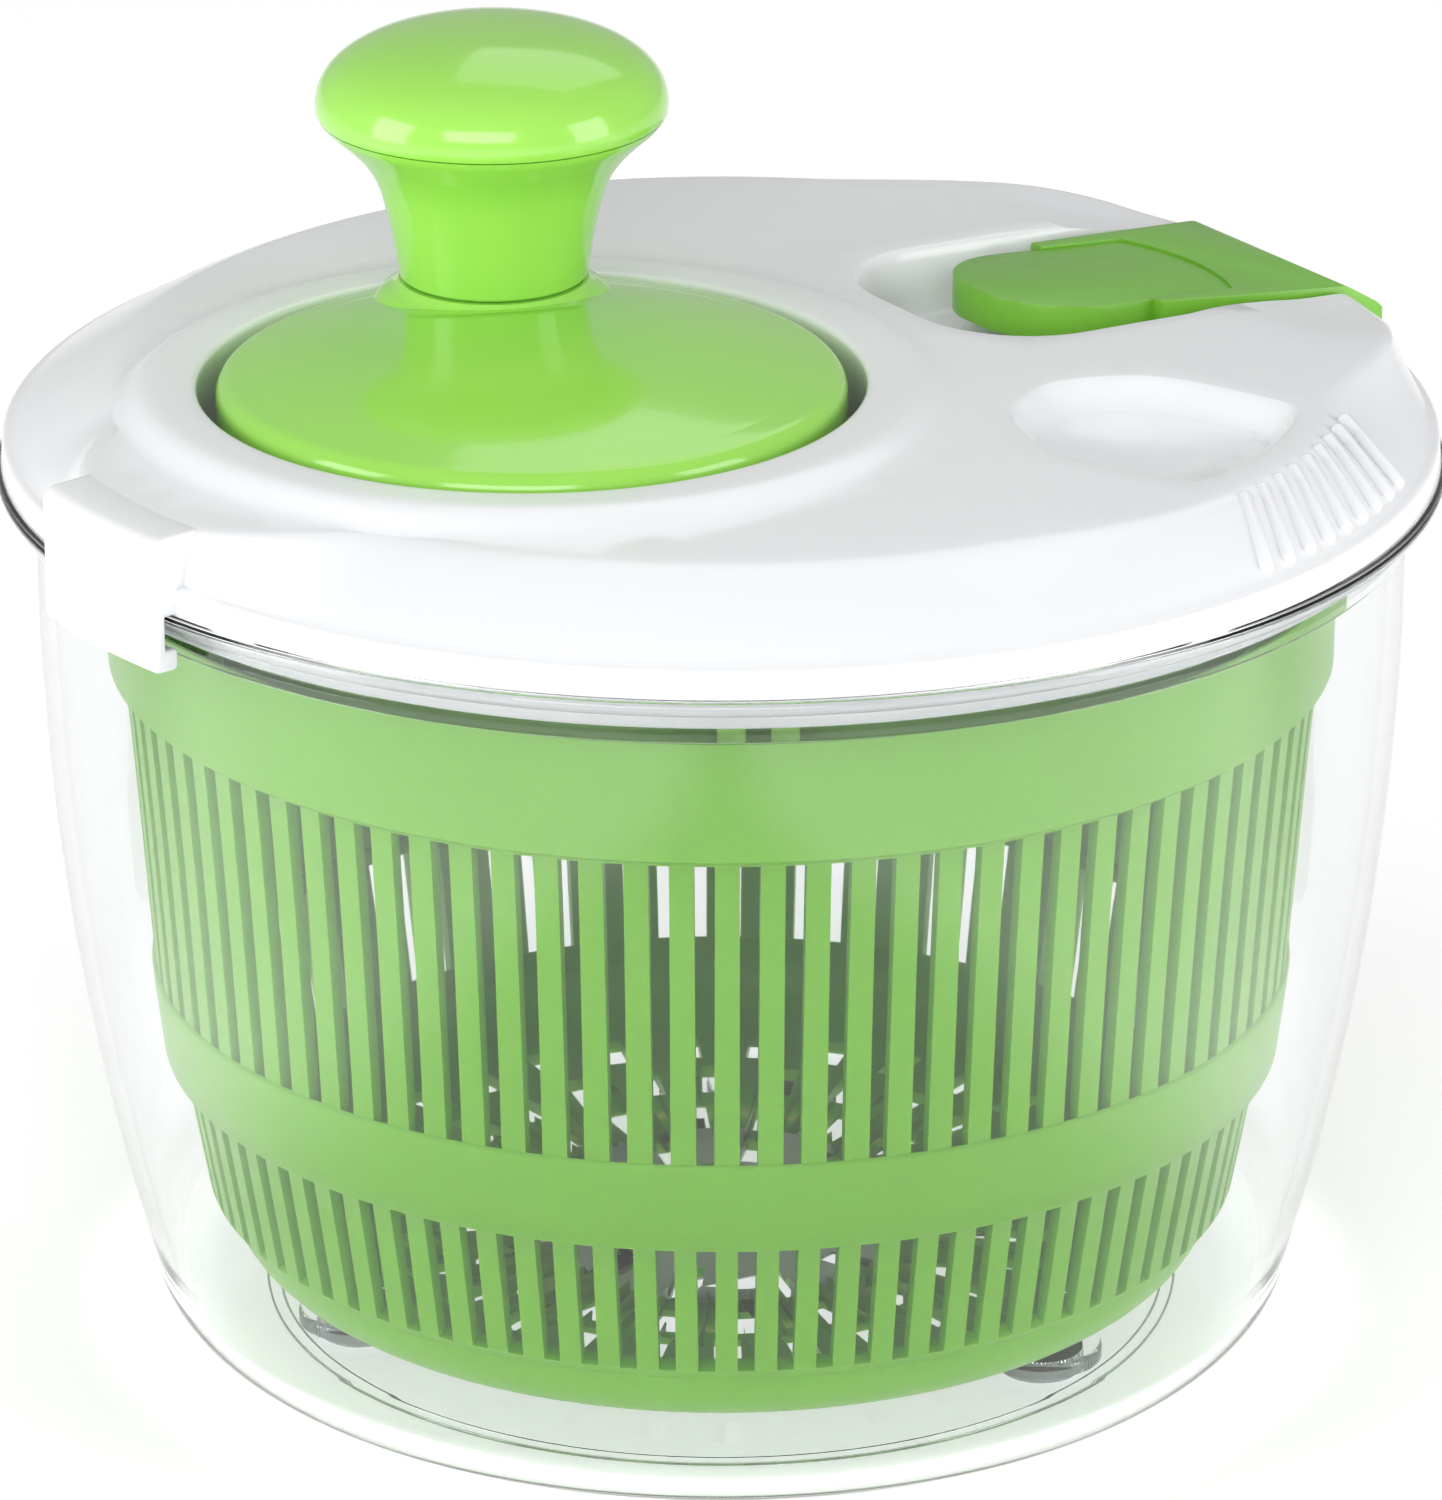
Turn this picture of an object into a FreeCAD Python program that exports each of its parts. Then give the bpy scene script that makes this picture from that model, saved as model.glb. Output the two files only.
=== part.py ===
import FreeCAD, Part
import math
import os

# Hand-cranked salad spinner, in millimetres. The origin is at the middle of the base on the
# surface that the bowl stands on, +Z is up, and +X points to the press latch on the lid.

# ---- Driving dimensions: bowl ----
rim_r = 110.0
rim_top = 139.5
rim_thick = 2.2
collar_r = 106.3
collar_h = 5.3
mouth_r = 104.3
base_r = 89.8
bowl_wall = 2.5
floor_thick = 2.7
base_corner = 9.5
straight_h = 18.5
stand_ring_r = 71.0
stand_ring_w = 2.0
stand_ring_h = 0.9
pivot_r = 4.0
pivot_h = 9.4

# ---- Driving dimensions: feet ----
foot_r = 6.5
foot_h = 4.3
foot_proud = 1.5
foot_circle = 61.0
foot_angles = (50.0, 170.0, 290.0)
foot_boss_r = 9.5
foot_boss_wall = 2.0

# ---- Driving dimensions: basket ----
basket_rim_drop = 11.7
basket_rim_r = 94.0
basket_wall = 2.1
basket_floor_z = 8.6
basket_corner = 11.5
top_band_h = 19.0
mid_band_top = 59.2
mid_band_h = 14.6
slot_foot = 22.7
slat_top_r = 91.8
slat_mid_r = 88.4
band_mid_r = 88.8
band_low_r = 87.3
low_slat_top_r = 84.8
low_slat_foot_r = 81.0
slot_count = 88
slot_top_w = 3.0
slot_foot_w = 2.5
floor_rows = ((26.0, 12), (38.0, 20), (50.0, 28), (62.0, 32))
floor_slot_l = 8.0
floor_slot_w = 2.8
basket_hub_r = 8.0
basket_hub_wall = 2.4
drive_count = 6
drive_rib_w = 3.0
drive_rib_in = 3.0
drive_rib_l = 13.0
drive_rib_drop = 1.0

# ---- Driving dimensions: lid ----
lid_edge_r = 109.0
lid_wall = 2.2
bead_h = 4.6
bead_step = 1.4
crease_r = 92.0
crease_h = 13.5
crown_h = 17.0
skirt_h = 6.5
skirt_wall = 2.0
skirt_gap = 0.5
ring_wall = 6.0
ring_slope = 4.0
screw_grip = 6.0

# ---- Driving dimensions: crank and gear train ----
gear_module = 0.9
ring_teeth = 93
pinion_teeth = 18
gear_pressure = 20.0
gear_backlash = 0.16
gear_face = 5.0
disc_r = 47.2
disc_edge_h = 7.0
disc_round = 3.2
disc_dome = 5.5
disc_gap = 2.8
journal_r = 5.0
bush_wall = 1.8
housing_thick = 2.0
journal_out = 0.2
crank_bush_drop = 0.6
spindle_r = 3.0
spindle_boss_drop = 3.0
ring_screw_r = 1.2
ring_screw_head_r = 2.2
ring_screw_head_h = 1.5
ring_screw_grip = 4.0
ring_screw_circle = 19.0
running_gap = 0.06

# ---- Driving dimensions: rotor ----
rotor_lift = 4.4
rotor_thick = 2.0
rotor_hub_r = 9.0
rotor_hub_l = 4.0
rotor_window_r = 15.0
fork_w = 4.0
fork_l = 10.0
fork_thick = 2.4

# ---- Driving dimensions: knob ----
knob_reach = 31.0
knob_angle = 68.7
knob_seat_r = 14.7
knob_waist_r = 17.4
knob_waist_h = 13.5
knob_max_r = 26.8
knob_max_h = 27.1
knob_h = 39.2
knob_wall = 2.4
knob_collar_h = 2.6
knob_pin_r = 4.0
knob_sleeve_h = 18.0
knob_cap_drop = 1.6
pin_seat_h = 2.0

# ---- Driving dimensions: latch and clip ----
tongue_w = 30.0
tongue_l = 54.0
tongue_thick = 5.6
tongue_keel = 2.4
tongue_fall = 5.0
block_l = 40.0
block_in_w = 35.0
block_out_w = 41.0
block_gap = 0.8
latch_pin_r = 1.5
latch_pin_in = 14.0
hook_w = 22.0
grip_leg = 2.0
grip_gap = 0.7
grip_lip_h = 3.2
grip_lip_gap = 2.5
grip_bite = 1.3
clip_w = 29.4
clip_angle = 183.2
spring_wire_r = 0.4
spring_r = 2.6
spring_turns = 4
spring_h = 7.3
spring_in = 15.3
recess_half_w = 24.5
recess_in_x = 32.0
recess_depth = 10.5
dish_angle = -56.5
dish_in_r = 48.5
dish_out_r = 88.5
dish_half_w = 21.5
dish_depth = 6.5
rib_count = 9
rib_pitch = 2.7
rib_first = -64.5
rib_r = 1.0

# ---- Fasteners ----
screw_r = 1.5
screw_head_r = 3.0
screw_head_h = 1.8
screw_sink = 0.6
washer_thick = 1.0
housing_screw_places = ((100.0, 78.0), (40.0, 78.0), (-22.0, 80.0),
                        (-100.0, 78.0), (150.0, 90.0), (-150.0, 90.0))
small_gap = 0.3

UP = FreeCAD.Vector(0, 0, 1)
ORIGIN = FreeCAD.Vector(0, 0, 0)
BIG = 400.0


# ---- Sketching helpers ----
def point(r, z):
    return FreeCAD.Vector(r, 0, z)


def profile(start, *steps):
    """Closed face in the XZ plane. A step is an (r, z) corner, or (middle, end) of an arc."""
    edges = []
    here = start
    for step in steps + (start,):
        if isinstance(step[0], tuple):
            middle, end = step
            edges.append(Part.Arc(point(*here), point(*middle), point(*end)).toShape())
            here = end
        elif step != here:
            edges.append(Part.LineSegment(point(*here), point(*step)).toShape())
            here = step
    return Part.Face(Part.Wire(edges))


def turned(start, *steps):
    return profile(start, *steps).revolve(ORIGIN, UP, 360)


def corner_arc(centre_r, centre_z, radius, first, last):
    """Middle and end points of an arc of a profile, by its angles in degrees."""
    points = []
    for angle in ((first + last) / 2, last):
        turn = math.radians(angle)
        points.append((centre_r + radius * math.cos(turn), centre_z + radius * math.sin(turn)))
    return tuple(points)


def barrel_radius(height, top, low):
    """Radius at a height of the arc that is upright at top and passes through low."""
    bend = ((top[0] - low[0]) ** 2 + (top[1] - low[1]) ** 2) / (2 * (top[0] - low[0]))
    return top[0] - bend + math.sqrt(bend ** 2 - (top[1] - height) ** 2)


def barrel_arc(top, low, upwards):
    """Middle and end points of the barrel-shaped wall between two corners."""
    middle_z = (top[1] + low[1]) / 2
    return (barrel_radius(middle_z, top, low), middle_z), (top if upwards else low)


def dome_arc(edge_r, edge_z, crown):
    """Middle and end points of a dome that is centred on the axis."""
    rise = crown - edge_z
    sphere = (edge_r ** 2 + rise ** 2) / (2 * rise)
    middle_r = edge_r / 2
    return (middle_r, crown - sphere + math.sqrt(sphere ** 2 - middle_r ** 2)), (0, crown)


def rod(radius, low, high, x=0.0, y=0.0):
    return Part.makeCylinder(radius, high - low, FreeCAD.Vector(x, y, low))


def tube(outer, inner, low, high, x=0.0, y=0.0):
    return rod(outer, low, high, x, y).cut(rod(inner, low - 1, high + 1, x, y))


def block(low, high):
    size = [b - a for a, b in zip(low, high)]
    return Part.makeBox(size[0], size[1], size[2], FreeCAD.Vector(*low))


def polar(radius, angle):
    turn = math.radians(angle)
    return radius * math.cos(turn), radius * math.sin(turn)


def spun(shape, angle, centre=ORIGIN):
    copy = shape.copy()
    copy.rotate(centre, UP, angle)
    return copy


def plan_face(corners, z):
    """Face in the XY plane at height z through corners (x, y, round radius)."""
    entries = []
    count = len(corners)
    for index, (x, y, radius) in enumerate(corners):
        here = FreeCAD.Vector(x, y, z)
        before = FreeCAD.Vector(corners[index - 1][0], corners[index - 1][1], z) - here
        after = FreeCAD.Vector(corners[(index + 1) % count][0], corners[(index + 1) % count][1], z) - here
        before.normalize()
        after.normalize()
        half = before.getAngle(after) / 2
        reach = radius / math.tan(half)
        bisector = before + after
        if bisector.Length > 0:
            bisector.normalize()
        middle = here + bisector * (radius / math.sin(half) - radius)
        entries.append((here + before * reach, middle, here + after * reach, radius))
    edges = []
    for index, (enter, middle, leave, radius) in enumerate(entries):
        if radius > 0:
            edges.append(Part.Arc(enter, middle, leave).toShape())
        following = entries[(index + 1) % count][0]
        if leave.distanceToPoint(following) > 1e-6:
            edges.append(Part.LineSegment(leave, following).toShape())
    return Part.Face(Part.Wire(edges))


def plan_prism(corners, low, high):
    return plan_face(corners, low).extrude(FreeCAD.Vector(0, 0, high - low))


def side_prism(width, start, *steps):
    """Solid of a side outline in the XZ plane, with the given width along Y."""
    face = profile(start, *steps)
    face.translate(FreeCAD.Vector(0, -width / 2, 0))
    return face.extrude(FreeCAD.Vector(0, width, 0))


def save(name, shape):
    solids = shape.Solids
    whole = solids[0] if len(solids) == 1 else Part.makeCompound(solids)
    if not whole.isValid():
        print("invalid", name)
    whole.exportStep("parts/" + name + ".step")
    box = whole.BoundBox
    low = [round(value, 1) for value in (box.XMin, box.YMin, box.ZMin)]
    high = [round(value, 1) for value in (box.XMax, box.YMax, box.ZMax)]
    print(name, len(solids), round(whole.Volume), low, high)


# ---- Heights and places worked out from the driving dimensions ----
floor_low = foot_proud
floor_top = floor_low + floor_thick
rim_low = rim_top - rim_thick
collar_low = rim_low - collar_h
straight_low = rim_top - straight_h
pivot_top = floor_top + pivot_h

basket_top = rim_top - basket_rim_drop
top_band_low = basket_top - top_band_h
mid_band_low = mid_band_top - mid_band_h
slot_cut_in = low_slat_foot_r - basket_wall - 4.0

lid_seat = rim_top
bead_top = lid_seat + bead_h
crease_z = lid_seat + crease_h
crown_z = lid_seat + crown_h
skirt_low = lid_seat - skirt_h
skirt_outer = mouth_r - bowl_wall - skirt_gap
skirt_inner = skirt_outer - skirt_wall

housing_low = lid_seat
housing_top = housing_low + housing_thick
housing_r = skirt_inner - 1.5
crank_x = -gear_module * (ring_teeth - pinion_teeth) / 2
well_r = disc_r + disc_gap
well_rim_z = crown_z - 0.5
ring_outer_r = well_r + ring_wall

spindle_foot_z = housing_low - spindle_boss_drop - small_gap

gear_low = housing_top + 1.5
gear_top = gear_low + gear_face
web_low = gear_top + 0.3
web_top = web_low + 1.5
disc_low = web_top
disc_edge_z = disc_low + disc_edge_h
disc_crown_z = disc_edge_z + disc_dome
ring_gear_r = disc_r - 1.2
crank_bush_top = web_low - crank_bush_drop
journal_end = housing_low - journal_out

rotor_low = basket_top + rotor_lift
rotor_top = rotor_low + rotor_thick
rotor_r = basket_rim_r - 1.5
rotor_foot = rotor_low - rotor_hub_l

knob_dx, knob_dy = polar(knob_reach, knob_angle)
knob_x = crank_x + knob_dx
knob_y = knob_dy
knob_place_z = disc_edge_z + disc_dome * (1 - (knob_reach / disc_r) ** 2)
knob_seat_z = knob_place_z + knob_collar_h
knob_part_h = knob_max_h - knob_cap_drop
pin_seat_z = disc_low + pin_seat_h
knob_pin_top = knob_seat_z + knob_sleeve_h + small_gap

grip_face_x = rim_r + grip_gap
grip_out_x = grip_face_x + grip_leg
grip_lip_top = rim_low - grip_lip_gap
grip_lip_low = grip_lip_top - grip_lip_h
grip_lip_x = rim_r - grip_bite
latch_pin_x = rim_r - latch_pin_in
tongue_tip_x = rim_r - 10.0 - tongue_l
latch_floor_z = bead_top - 1.1
latch_pin_z = latch_floor_z + 4.5
ear_half = block_out_w / 2 + 5.5
pin_half = block_out_w / 2 + 4.0
spring_x = latch_pin_x - spring_in


# ---- Gears ----
def involute_flank(base, low, high, steps):
    """(radius, angle) pairs of an involute between two radii."""
    pairs = []
    for step in range(steps + 1):
        radius = max(low + (high - low) * step / steps, base)
        pressure = math.acos(base / radius)
        pairs.append((radius, math.tan(pressure) - pressure))
    return pairs


def gear_face_shape(teeth, root, tip, tooth_share, z):
    """Star-shaped face of one gear; tooth_share is a tooth's thickness angle at the pitch circle."""
    pitch = gear_module * teeth / 2
    base = pitch * math.cos(math.radians(gear_pressure))
    pitch_turn = math.tan(math.radians(gear_pressure)) - math.radians(gear_pressure)
    flank = involute_flank(base, max(root, base), tip, 3)
    points = []
    for tooth in range(teeth):
        centre = 2 * math.pi * tooth / teeth
        side = [(radius, tooth_share / 2 + pitch_turn - turn) for radius, turn in flank]
        if root < base:
            side.insert(0, (root, side[0][1]))
        rising = [(radius, centre - turn) for radius, turn in side]
        falling = [(radius, centre + turn) for radius, turn in reversed(side)]
        for radius, angle in rising + falling:
            points.append(FreeCAD.Vector(radius * math.cos(angle), radius * math.sin(angle), z))
    points.append(points[0])
    return Part.Face(Part.makePolygon(points))


def make_pinion():
    pitch = gear_module * pinion_teeth / 2
    share = math.pi / pinion_teeth - gear_backlash / pitch
    face = gear_face_shape(pinion_teeth, pitch - 1.25 * gear_module, pitch + gear_module, share, gear_low)
    teeth = face.extrude(FreeCAD.Vector(0, 0, gear_face))
    hub = rod(pitch - 1.6 * gear_module, housing_top + 0.4, gear_low)
    return teeth.fuse(hub).cut(rod(spindle_r, housing_low, gear_top + 1))


def make_ring_gear():
    """Internal gear under a thin web that is screwed to the crank disc."""
    pitch = gear_module * ring_teeth / 2
    space = math.pi / ring_teeth + gear_backlash / pitch
    tip = pitch - 0.8 * gear_module
    root = pitch + 1.25 * gear_module
    hollow = gear_face_shape(ring_teeth, tip, root, space, gear_low - 1)
    hollow = hollow.extrude(FreeCAD.Vector(0, 0, web_low - gear_low + 1))
    ring = rod(ring_gear_r, gear_low, web_top).cut(hollow)
    ring = ring.cut(rod(journal_r, gear_low, web_top + 1))
    for angle in (0, 120, 240):
        x, y = polar(ring_screw_circle, angle + 60)
        ring = ring.cut(rod(ring_screw_r, gear_low, web_top + 1, x, y))
    ring.translate(FreeCAD.Vector(crank_x, 0, 0))
    return ring


# ---- Screws and washers ----
def pan_screw(radius, head_r, head_h, seat, length, x, y, upwards=True):
    """Pan-head screw with a cross recess, whose head sits on the seat height."""
    way = 1 if upwards else -1
    head = turned((0, 0), (head_r, 0), (corner_arc(head_r - head_h, 0, head_h, 0, 90)), (0, head_h))
    slot = block((-head_r * 0.6, -0.35, head_h - 0.8), (head_r * 0.6, 0.35, head_h + 1))
    head = head.cut(slot).cut(spun(slot, 90))
    screw = head.fuse(rod(radius, -length, 0))
    if upwards:
        screw.rotate(ORIGIN, FreeCAD.Vector(1, 0, 0), 180)
    screw.translate(FreeCAD.Vector(x, y, seat))
    return screw


# ---- Bowl and feet ----
def make_bowl():
    outer_top = (mouth_r, straight_low)
    outer_low = (base_r, floor_low + base_corner)
    inner_top = (mouth_r - bowl_wall, straight_low)
    inner_low = (base_r - bowl_wall, floor_low + base_corner)
    inner_corner = base_corner - bowl_wall
    body = turned(
        (0, floor_low),
        (base_r - base_corner, floor_low),
        corner_arc(base_r - base_corner, floor_low + base_corner, base_corner, -90, 0),
        barrel_arc(outer_top, outer_low, True),
        (mouth_r, collar_low),
        (collar_r - 0.5, collar_low),
        (collar_r, collar_low + 0.5),
        (collar_r, rim_low),
        (rim_r - 0.8, rim_low),
        corner_arc(rim_r - rim_thick / 2, rim_low + rim_thick / 2, rim_thick / 2, -90, 90),
        (mouth_r - bowl_wall + 0.6, rim_top),
        (mouth_r - bowl_wall, rim_top - 0.6),
        inner_top,
        barrel_arc(inner_top, inner_low, False),
        (base_r - bowl_wall, floor_top + inner_corner),
        corner_arc(base_r - bowl_wall - inner_corner, floor_top + inner_corner, inner_corner, 0, -90),
        (0, floor_top),
    )
    ring_low = floor_low - stand_ring_h
    ring_half = stand_ring_w / 2
    body = body.fuse(tube(stand_ring_r + ring_half, stand_ring_r - ring_half, ring_low, floor_low + 1))
    post = turned(
        (0, floor_low + 1),
        (pivot_r + 2, floor_low + 1),
        (pivot_r + 2, floor_top),
        (pivot_r, floor_top + 2),
        (pivot_r, pivot_top - 1.5),
        corner_arc(pivot_r - 1.5, pivot_top - 1.5, 1.5, 0, 90),
        (0, pivot_top),
    )
    body = body.fuse(post)
    for angle in foot_angles:
        x, y = polar(foot_circle, angle)
        body = body.fuse(rod(foot_boss_r, floor_low, foot_h + foot_boss_wall, x, y))
    for angle in foot_angles:
        x, y = polar(foot_circle, angle)
        body = body.cut(rod(foot_r, -1, foot_h, x, y))
    return body.removeSplitter()


def make_foot(angle):
    x, y = polar(foot_circle, angle)
    edge = foot_r - 0.6
    pad = turned((0, 0), (edge, 0), corner_arc(edge, 0.6, 0.6, -90, 0), (foot_r, foot_h), (0, foot_h))
    pad.translate(FreeCAD.Vector(x, y, 0))
    return pad


# ---- Basket ----
def slot_cutter(top_z, foot_z, top_w, foot_w):
    """Outward-pointing wedge that opens one slot through the basket wall."""
    near = slot_cut_in
    corners = ((-top_w / 2, top_z), (top_w / 2, top_z), (foot_w / 2, foot_z), (-foot_w / 2, foot_z))
    points = [FreeCAD.Vector(near, y, z) for y, z in corners]
    points.append(points[0])
    return Part.Face(Part.makePolygon(points)).extrude(FreeCAD.Vector(basket_rim_r - near + 5, 0, 0))


def make_basket():
    wall = basket_wall
    low = basket_floor_z
    bend = basket_corner
    foot_out = low_slat_foot_r - 3.0
    side_r = foot_out - bend
    shell = turned(
        (0, low),
        (side_r, low),
        corner_arc(side_r, low + bend, bend, -90, 0),
        (low_slat_foot_r, slot_foot),
        (low_slat_top_r, mid_band_low - 0.6),
        (band_low_r - 0.8, mid_band_low),
        (band_low_r, mid_band_low + 0.8),
        (band_mid_r, mid_band_top),
        (slat_mid_r, mid_band_top + 0.4),
        (slat_top_r, top_band_low - 1.0),
        (basket_rim_r - 0.4, top_band_low + 0.6),
        (basket_rim_r, top_band_low + 1.4),
        (basket_rim_r, basket_top - 0.8),
        (basket_rim_r - 0.8, basket_top),
        (basket_rim_r - wall, basket_top),
        (basket_rim_r - wall, top_band_low),
        (slat_top_r - wall, top_band_low - 2.0),
        (slat_mid_r - wall, mid_band_top),
        (band_low_r - wall, mid_band_low + 2.5),
        (low_slat_top_r - wall, mid_band_low - 1.5),
        (low_slat_foot_r - wall, slot_foot),
        (foot_out - wall, low + bend),
        corner_arc(side_r, low + bend, bend - wall, 0, -90),
        (0, low + wall),
    )
    hub_top = pivot_top + basket_hub_wall
    shell = shell.fuse(rod(basket_hub_r, low, hub_top))
    shell = shell.cut(rod(pivot_r + running_gap, low - 1, pivot_top))
    for index in range(drive_count):
        shell = shell.fuse(spun(make_drive_rib(), 360.0 * index / drive_count))
    cutters = []
    for index in range(slot_count):
        angle = 360.0 * index / slot_count
        cutters.append(spun(slot_cutter(top_band_low, mid_band_top, slot_top_w, slot_top_w * 0.87), angle))
        cutters.append(spun(slot_cutter(mid_band_low, slot_foot, slot_top_w * 0.93, slot_foot_w), angle))
    for radius, count in floor_rows:
        for index in range(count):
            hole = block((radius - floor_slot_l / 2, -floor_slot_w / 2, low - 1),
                         (radius + floor_slot_l / 2, floor_slot_w / 2, low + wall + 1))
            cutters.append(spun(hole, 360.0 * (index + 0.5) / count))
    return shell.cut(Part.makeCompound(cutters))


def make_drive_rib():
    """Short upright rib inside the basket's rim, which the rotor's fork straddles."""
    outer = basket_rim_r - basket_wall + 0.5
    inner = basket_rim_r - basket_wall - drive_rib_in
    top = basket_top - drive_rib_drop
    return block((inner, -drive_rib_w / 2, top - drive_rib_l), (outer, drive_rib_w / 2, top))


# ---- Lid ----
def outer_hull():
    """Everything under the lid's outer surface, down to the seat."""
    return turned(
        (0, lid_seat),
        (lid_edge_r, lid_seat),
        (lid_edge_r, bead_top - 0.8),
        (lid_edge_r - 0.8, bead_top),
        (lid_edge_r - bead_step, bead_top),
        (crease_r + 1.2, crease_z - 0.5),
        (crease_r - 1.2, crease_z + 0.1),
        (0, crown_z),
    )


def inner_hull():
    """The hollow under the lid's top."""
    wall = lid_wall
    return turned(
        (0, lid_seat - 1),
        (lid_edge_r - wall, lid_seat - 1),
        (lid_edge_r - wall, bead_top - wall * 0.8),
        (crease_r, crease_z - wall * 1.1),
        (0, crown_z - wall),
    )


def tab_outline(half_w, reach):
    return ((-reach, -half_w, 4.0), (reach, -half_w, 4.0), (reach, half_w, 4.0), (-reach, half_w, 4.0))


def make_tabs():
    """Raised shoulders towards the latch (+X) and the clip (-X)."""
    half_w = recess_half_w + 4.0
    reach = lid_edge_r - 3.0
    top = crease_z - 1.5
    tabs = plan_prism(tab_outline(half_w, reach), lid_seat, top)
    inside = plan_prism(tab_outline(half_w - lid_wall, reach - lid_wall), lid_seat - 1, top - lid_wall)
    return tabs, inside


def recess_outline(grow):
    """D-shaped finger recess round the tongue, which narrows towards the latch pocket."""
    half = recess_half_w + grow
    inner = recess_in_x - grow
    wide = rim_r - block_l
    outer = latch_pin_x - 8.0 + grow
    mouth = pocket_half(grow)
    return ((inner, -half, half * 0.75), (wide, -half, 12.0), (outer, -mouth, 0.5),
            (outer, mouth, 0.5), (wide, half, 12.0), (inner, half, half * 0.75))


def dish_outline(grow):
    """Leaf-shaped scoop: narrow end inwards, blunt end along the crease."""
    inner = dish_in_r - grow
    outer = dish_out_r + grow
    half = dish_half_w + grow
    near = half * 0.35
    far = half * 0.65
    return ((inner, -near, 4.0), (inner + 13.5, -half, 9.0), (outer - 7.0, -half, 7.0), (outer, -far, 6.0),
            (outer, far, 6.0), (outer - 7.0, half, 7.0), (inner + 13.5, half, 9.0), (inner, near, 4.0))


def pocket_half(grow):
    return block_out_w / 2 + block_gap + grow


def latch_pocket(grow):
    half = pocket_half(grow)
    inner = spring_x - spring_r - spring_wire_r - 1.2 - grow
    return block((inner, -half, latch_floor_z - grow), (BIG, half, BIG))


def rib_bar(angle):
    """Rounded bar laid along the lid's sloping side."""
    high = FreeCAD.Vector(crease_r + 2.5, 0, crease_z - 1.2)
    low = FreeCAD.Vector(lid_edge_r - bead_step - 3.2, 0, bead_top + 1.2)
    bar = Part.makeCylinder(rib_r, (high - low).Length, low, high - low)
    bar = bar.fuse(Part.makeSphere(rib_r, low)).fuse(Part.makeSphere(rib_r, high))
    return spun(bar, angle)


def make_lid_shell():
    hull = outer_hull()
    tabs, tabs_inside = make_tabs()
    solid = hull.fuse(tabs)
    hollow = inner_hull().fuse(tabs_inside)
    shell = solid.cut(hollow)

    recess_floor = crown_z - 2.0 - recess_depth
    dish_floor = crease_z - dish_depth
    dish_solid = spun(plan_prism(dish_outline(lid_wall), dish_floor - lid_wall, BIG), dish_angle)
    cups = plan_prism(recess_outline(lid_wall), recess_floor - lid_wall, BIG).fuse(dish_solid)
    cups = cups.fuse(latch_pocket(lid_wall))
    well_wall = rod(well_r + lid_wall, housing_top, BIG, crank_x)
    ears_low = housing_top + small_gap
    ears = block((latch_pin_x - 5.0, -ear_half, ears_low), (latch_pin_x + 5.0, ear_half, BIG))
    shell = shell.fuse(cups.fuse(well_wall).fuse(ears).common(solid))

    ring = turned((0, crown_z - 4), (ring_outer_r + ring_slope, crown_z - 4), (ring_outer_r, well_rim_z),
                  (0, well_rim_z))
    ring.translate(FreeCAD.Vector(crank_x, 0, 0))
    shell = shell.fuse(ring.cut(rod(well_r, 0, BIG, crank_x)))
    shell = shell.fuse(tube(skirt_outer, skirt_inner, skirt_low, crease_z - 6.0).common(skirt_zone()))
    for angle, radius in housing_screw_places:
        x, y = polar(radius, angle)
        shell = shell.fuse(rod(screw_r + 2.4, housing_top, BIG, x, y).common(solid))
    shell = shell.fuse(make_clip())

    shell = shell.cut(rod(well_r, 0, BIG, crank_x))
    shell = shell.cut(plan_prism(recess_outline(0), recess_floor, BIG))
    shell = shell.cut(spun(plan_prism(dish_outline(0), dish_floor, BIG), dish_angle))
    shell = shell.cut(latch_pocket(0))
    for angle, radius in housing_screw_places:
        x, y = polar(radius, angle)
        shell = shell.cut(rod(screw_r, housing_low, housing_top + screw_grip, x, y))
    for index in range(rib_count):
        shell = shell.fuse(rib_bar(rib_first + rib_pitch * index))
    return shell.cut(make_latch_pin()).removeSplitter()


def skirt_zone():
    """The locating skirt stops short of the latch pocket."""
    return rod(BIG, skirt_low, BIG).cut(latch_pocket(-1.0))


def make_clip():
    """Fixed clip opposite the latch: curved leg over the bowl's rim, with a lip under the flange."""
    top = crease_z - 1.5
    inner = lid_edge_r - 6.0
    ring = turned(
        (inner, lid_seat),
        (grip_face_x, lid_seat),
        (grip_face_x, grip_lip_top),
        (grip_lip_x, grip_lip_top),
        (grip_lip_x, grip_lip_low),
        (grip_out_x, grip_lip_low),
        (grip_out_x, top - 3.0),
        corner_arc(grip_out_x - 3.0, top - 3.0, 3.0, 0, 90),
        (inner, top),
    )
    return spun(ring.common(block((0, -clip_w / 2, 0), (BIG, clip_w / 2, BIG))), clip_angle)


# ---- Gear housing ----
def make_gear_housing():
    """Inner cover that closes the gear space and carries the crank bush and the spindle bush."""
    crank_bore = journal_r + running_gap + bush_wall
    spindle_bore = spindle_r + running_gap + bush_wall
    spindle_low = housing_low - spindle_boss_drop
    plate = rod(housing_r, housing_low, housing_top)
    plate = plate.fuse(rod(crank_bore + 2.2, housing_low, crank_bush_top, crank_x))
    plate = plate.fuse(rod(spindle_bore + 2.0, spindle_low, housing_low))
    plate = plate.cut(rod(crank_bore, housing_low - 1, crank_bush_top + 1, crank_x))
    plate = plate.cut(rod(spindle_bore, spindle_low - 1, housing_top + 1))
    for angle, radius in housing_screw_places:
        x, y = polar(radius, angle)
        plate = plate.cut(rod(screw_r, housing_low - 1, housing_top + 1, x, y))
        plate = plate.cut(rod(screw_head_r + small_gap, housing_low - 1, housing_low + screw_sink, x, y))
    return plate.cut(latch_pocket(lid_wall + small_gap))


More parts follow.
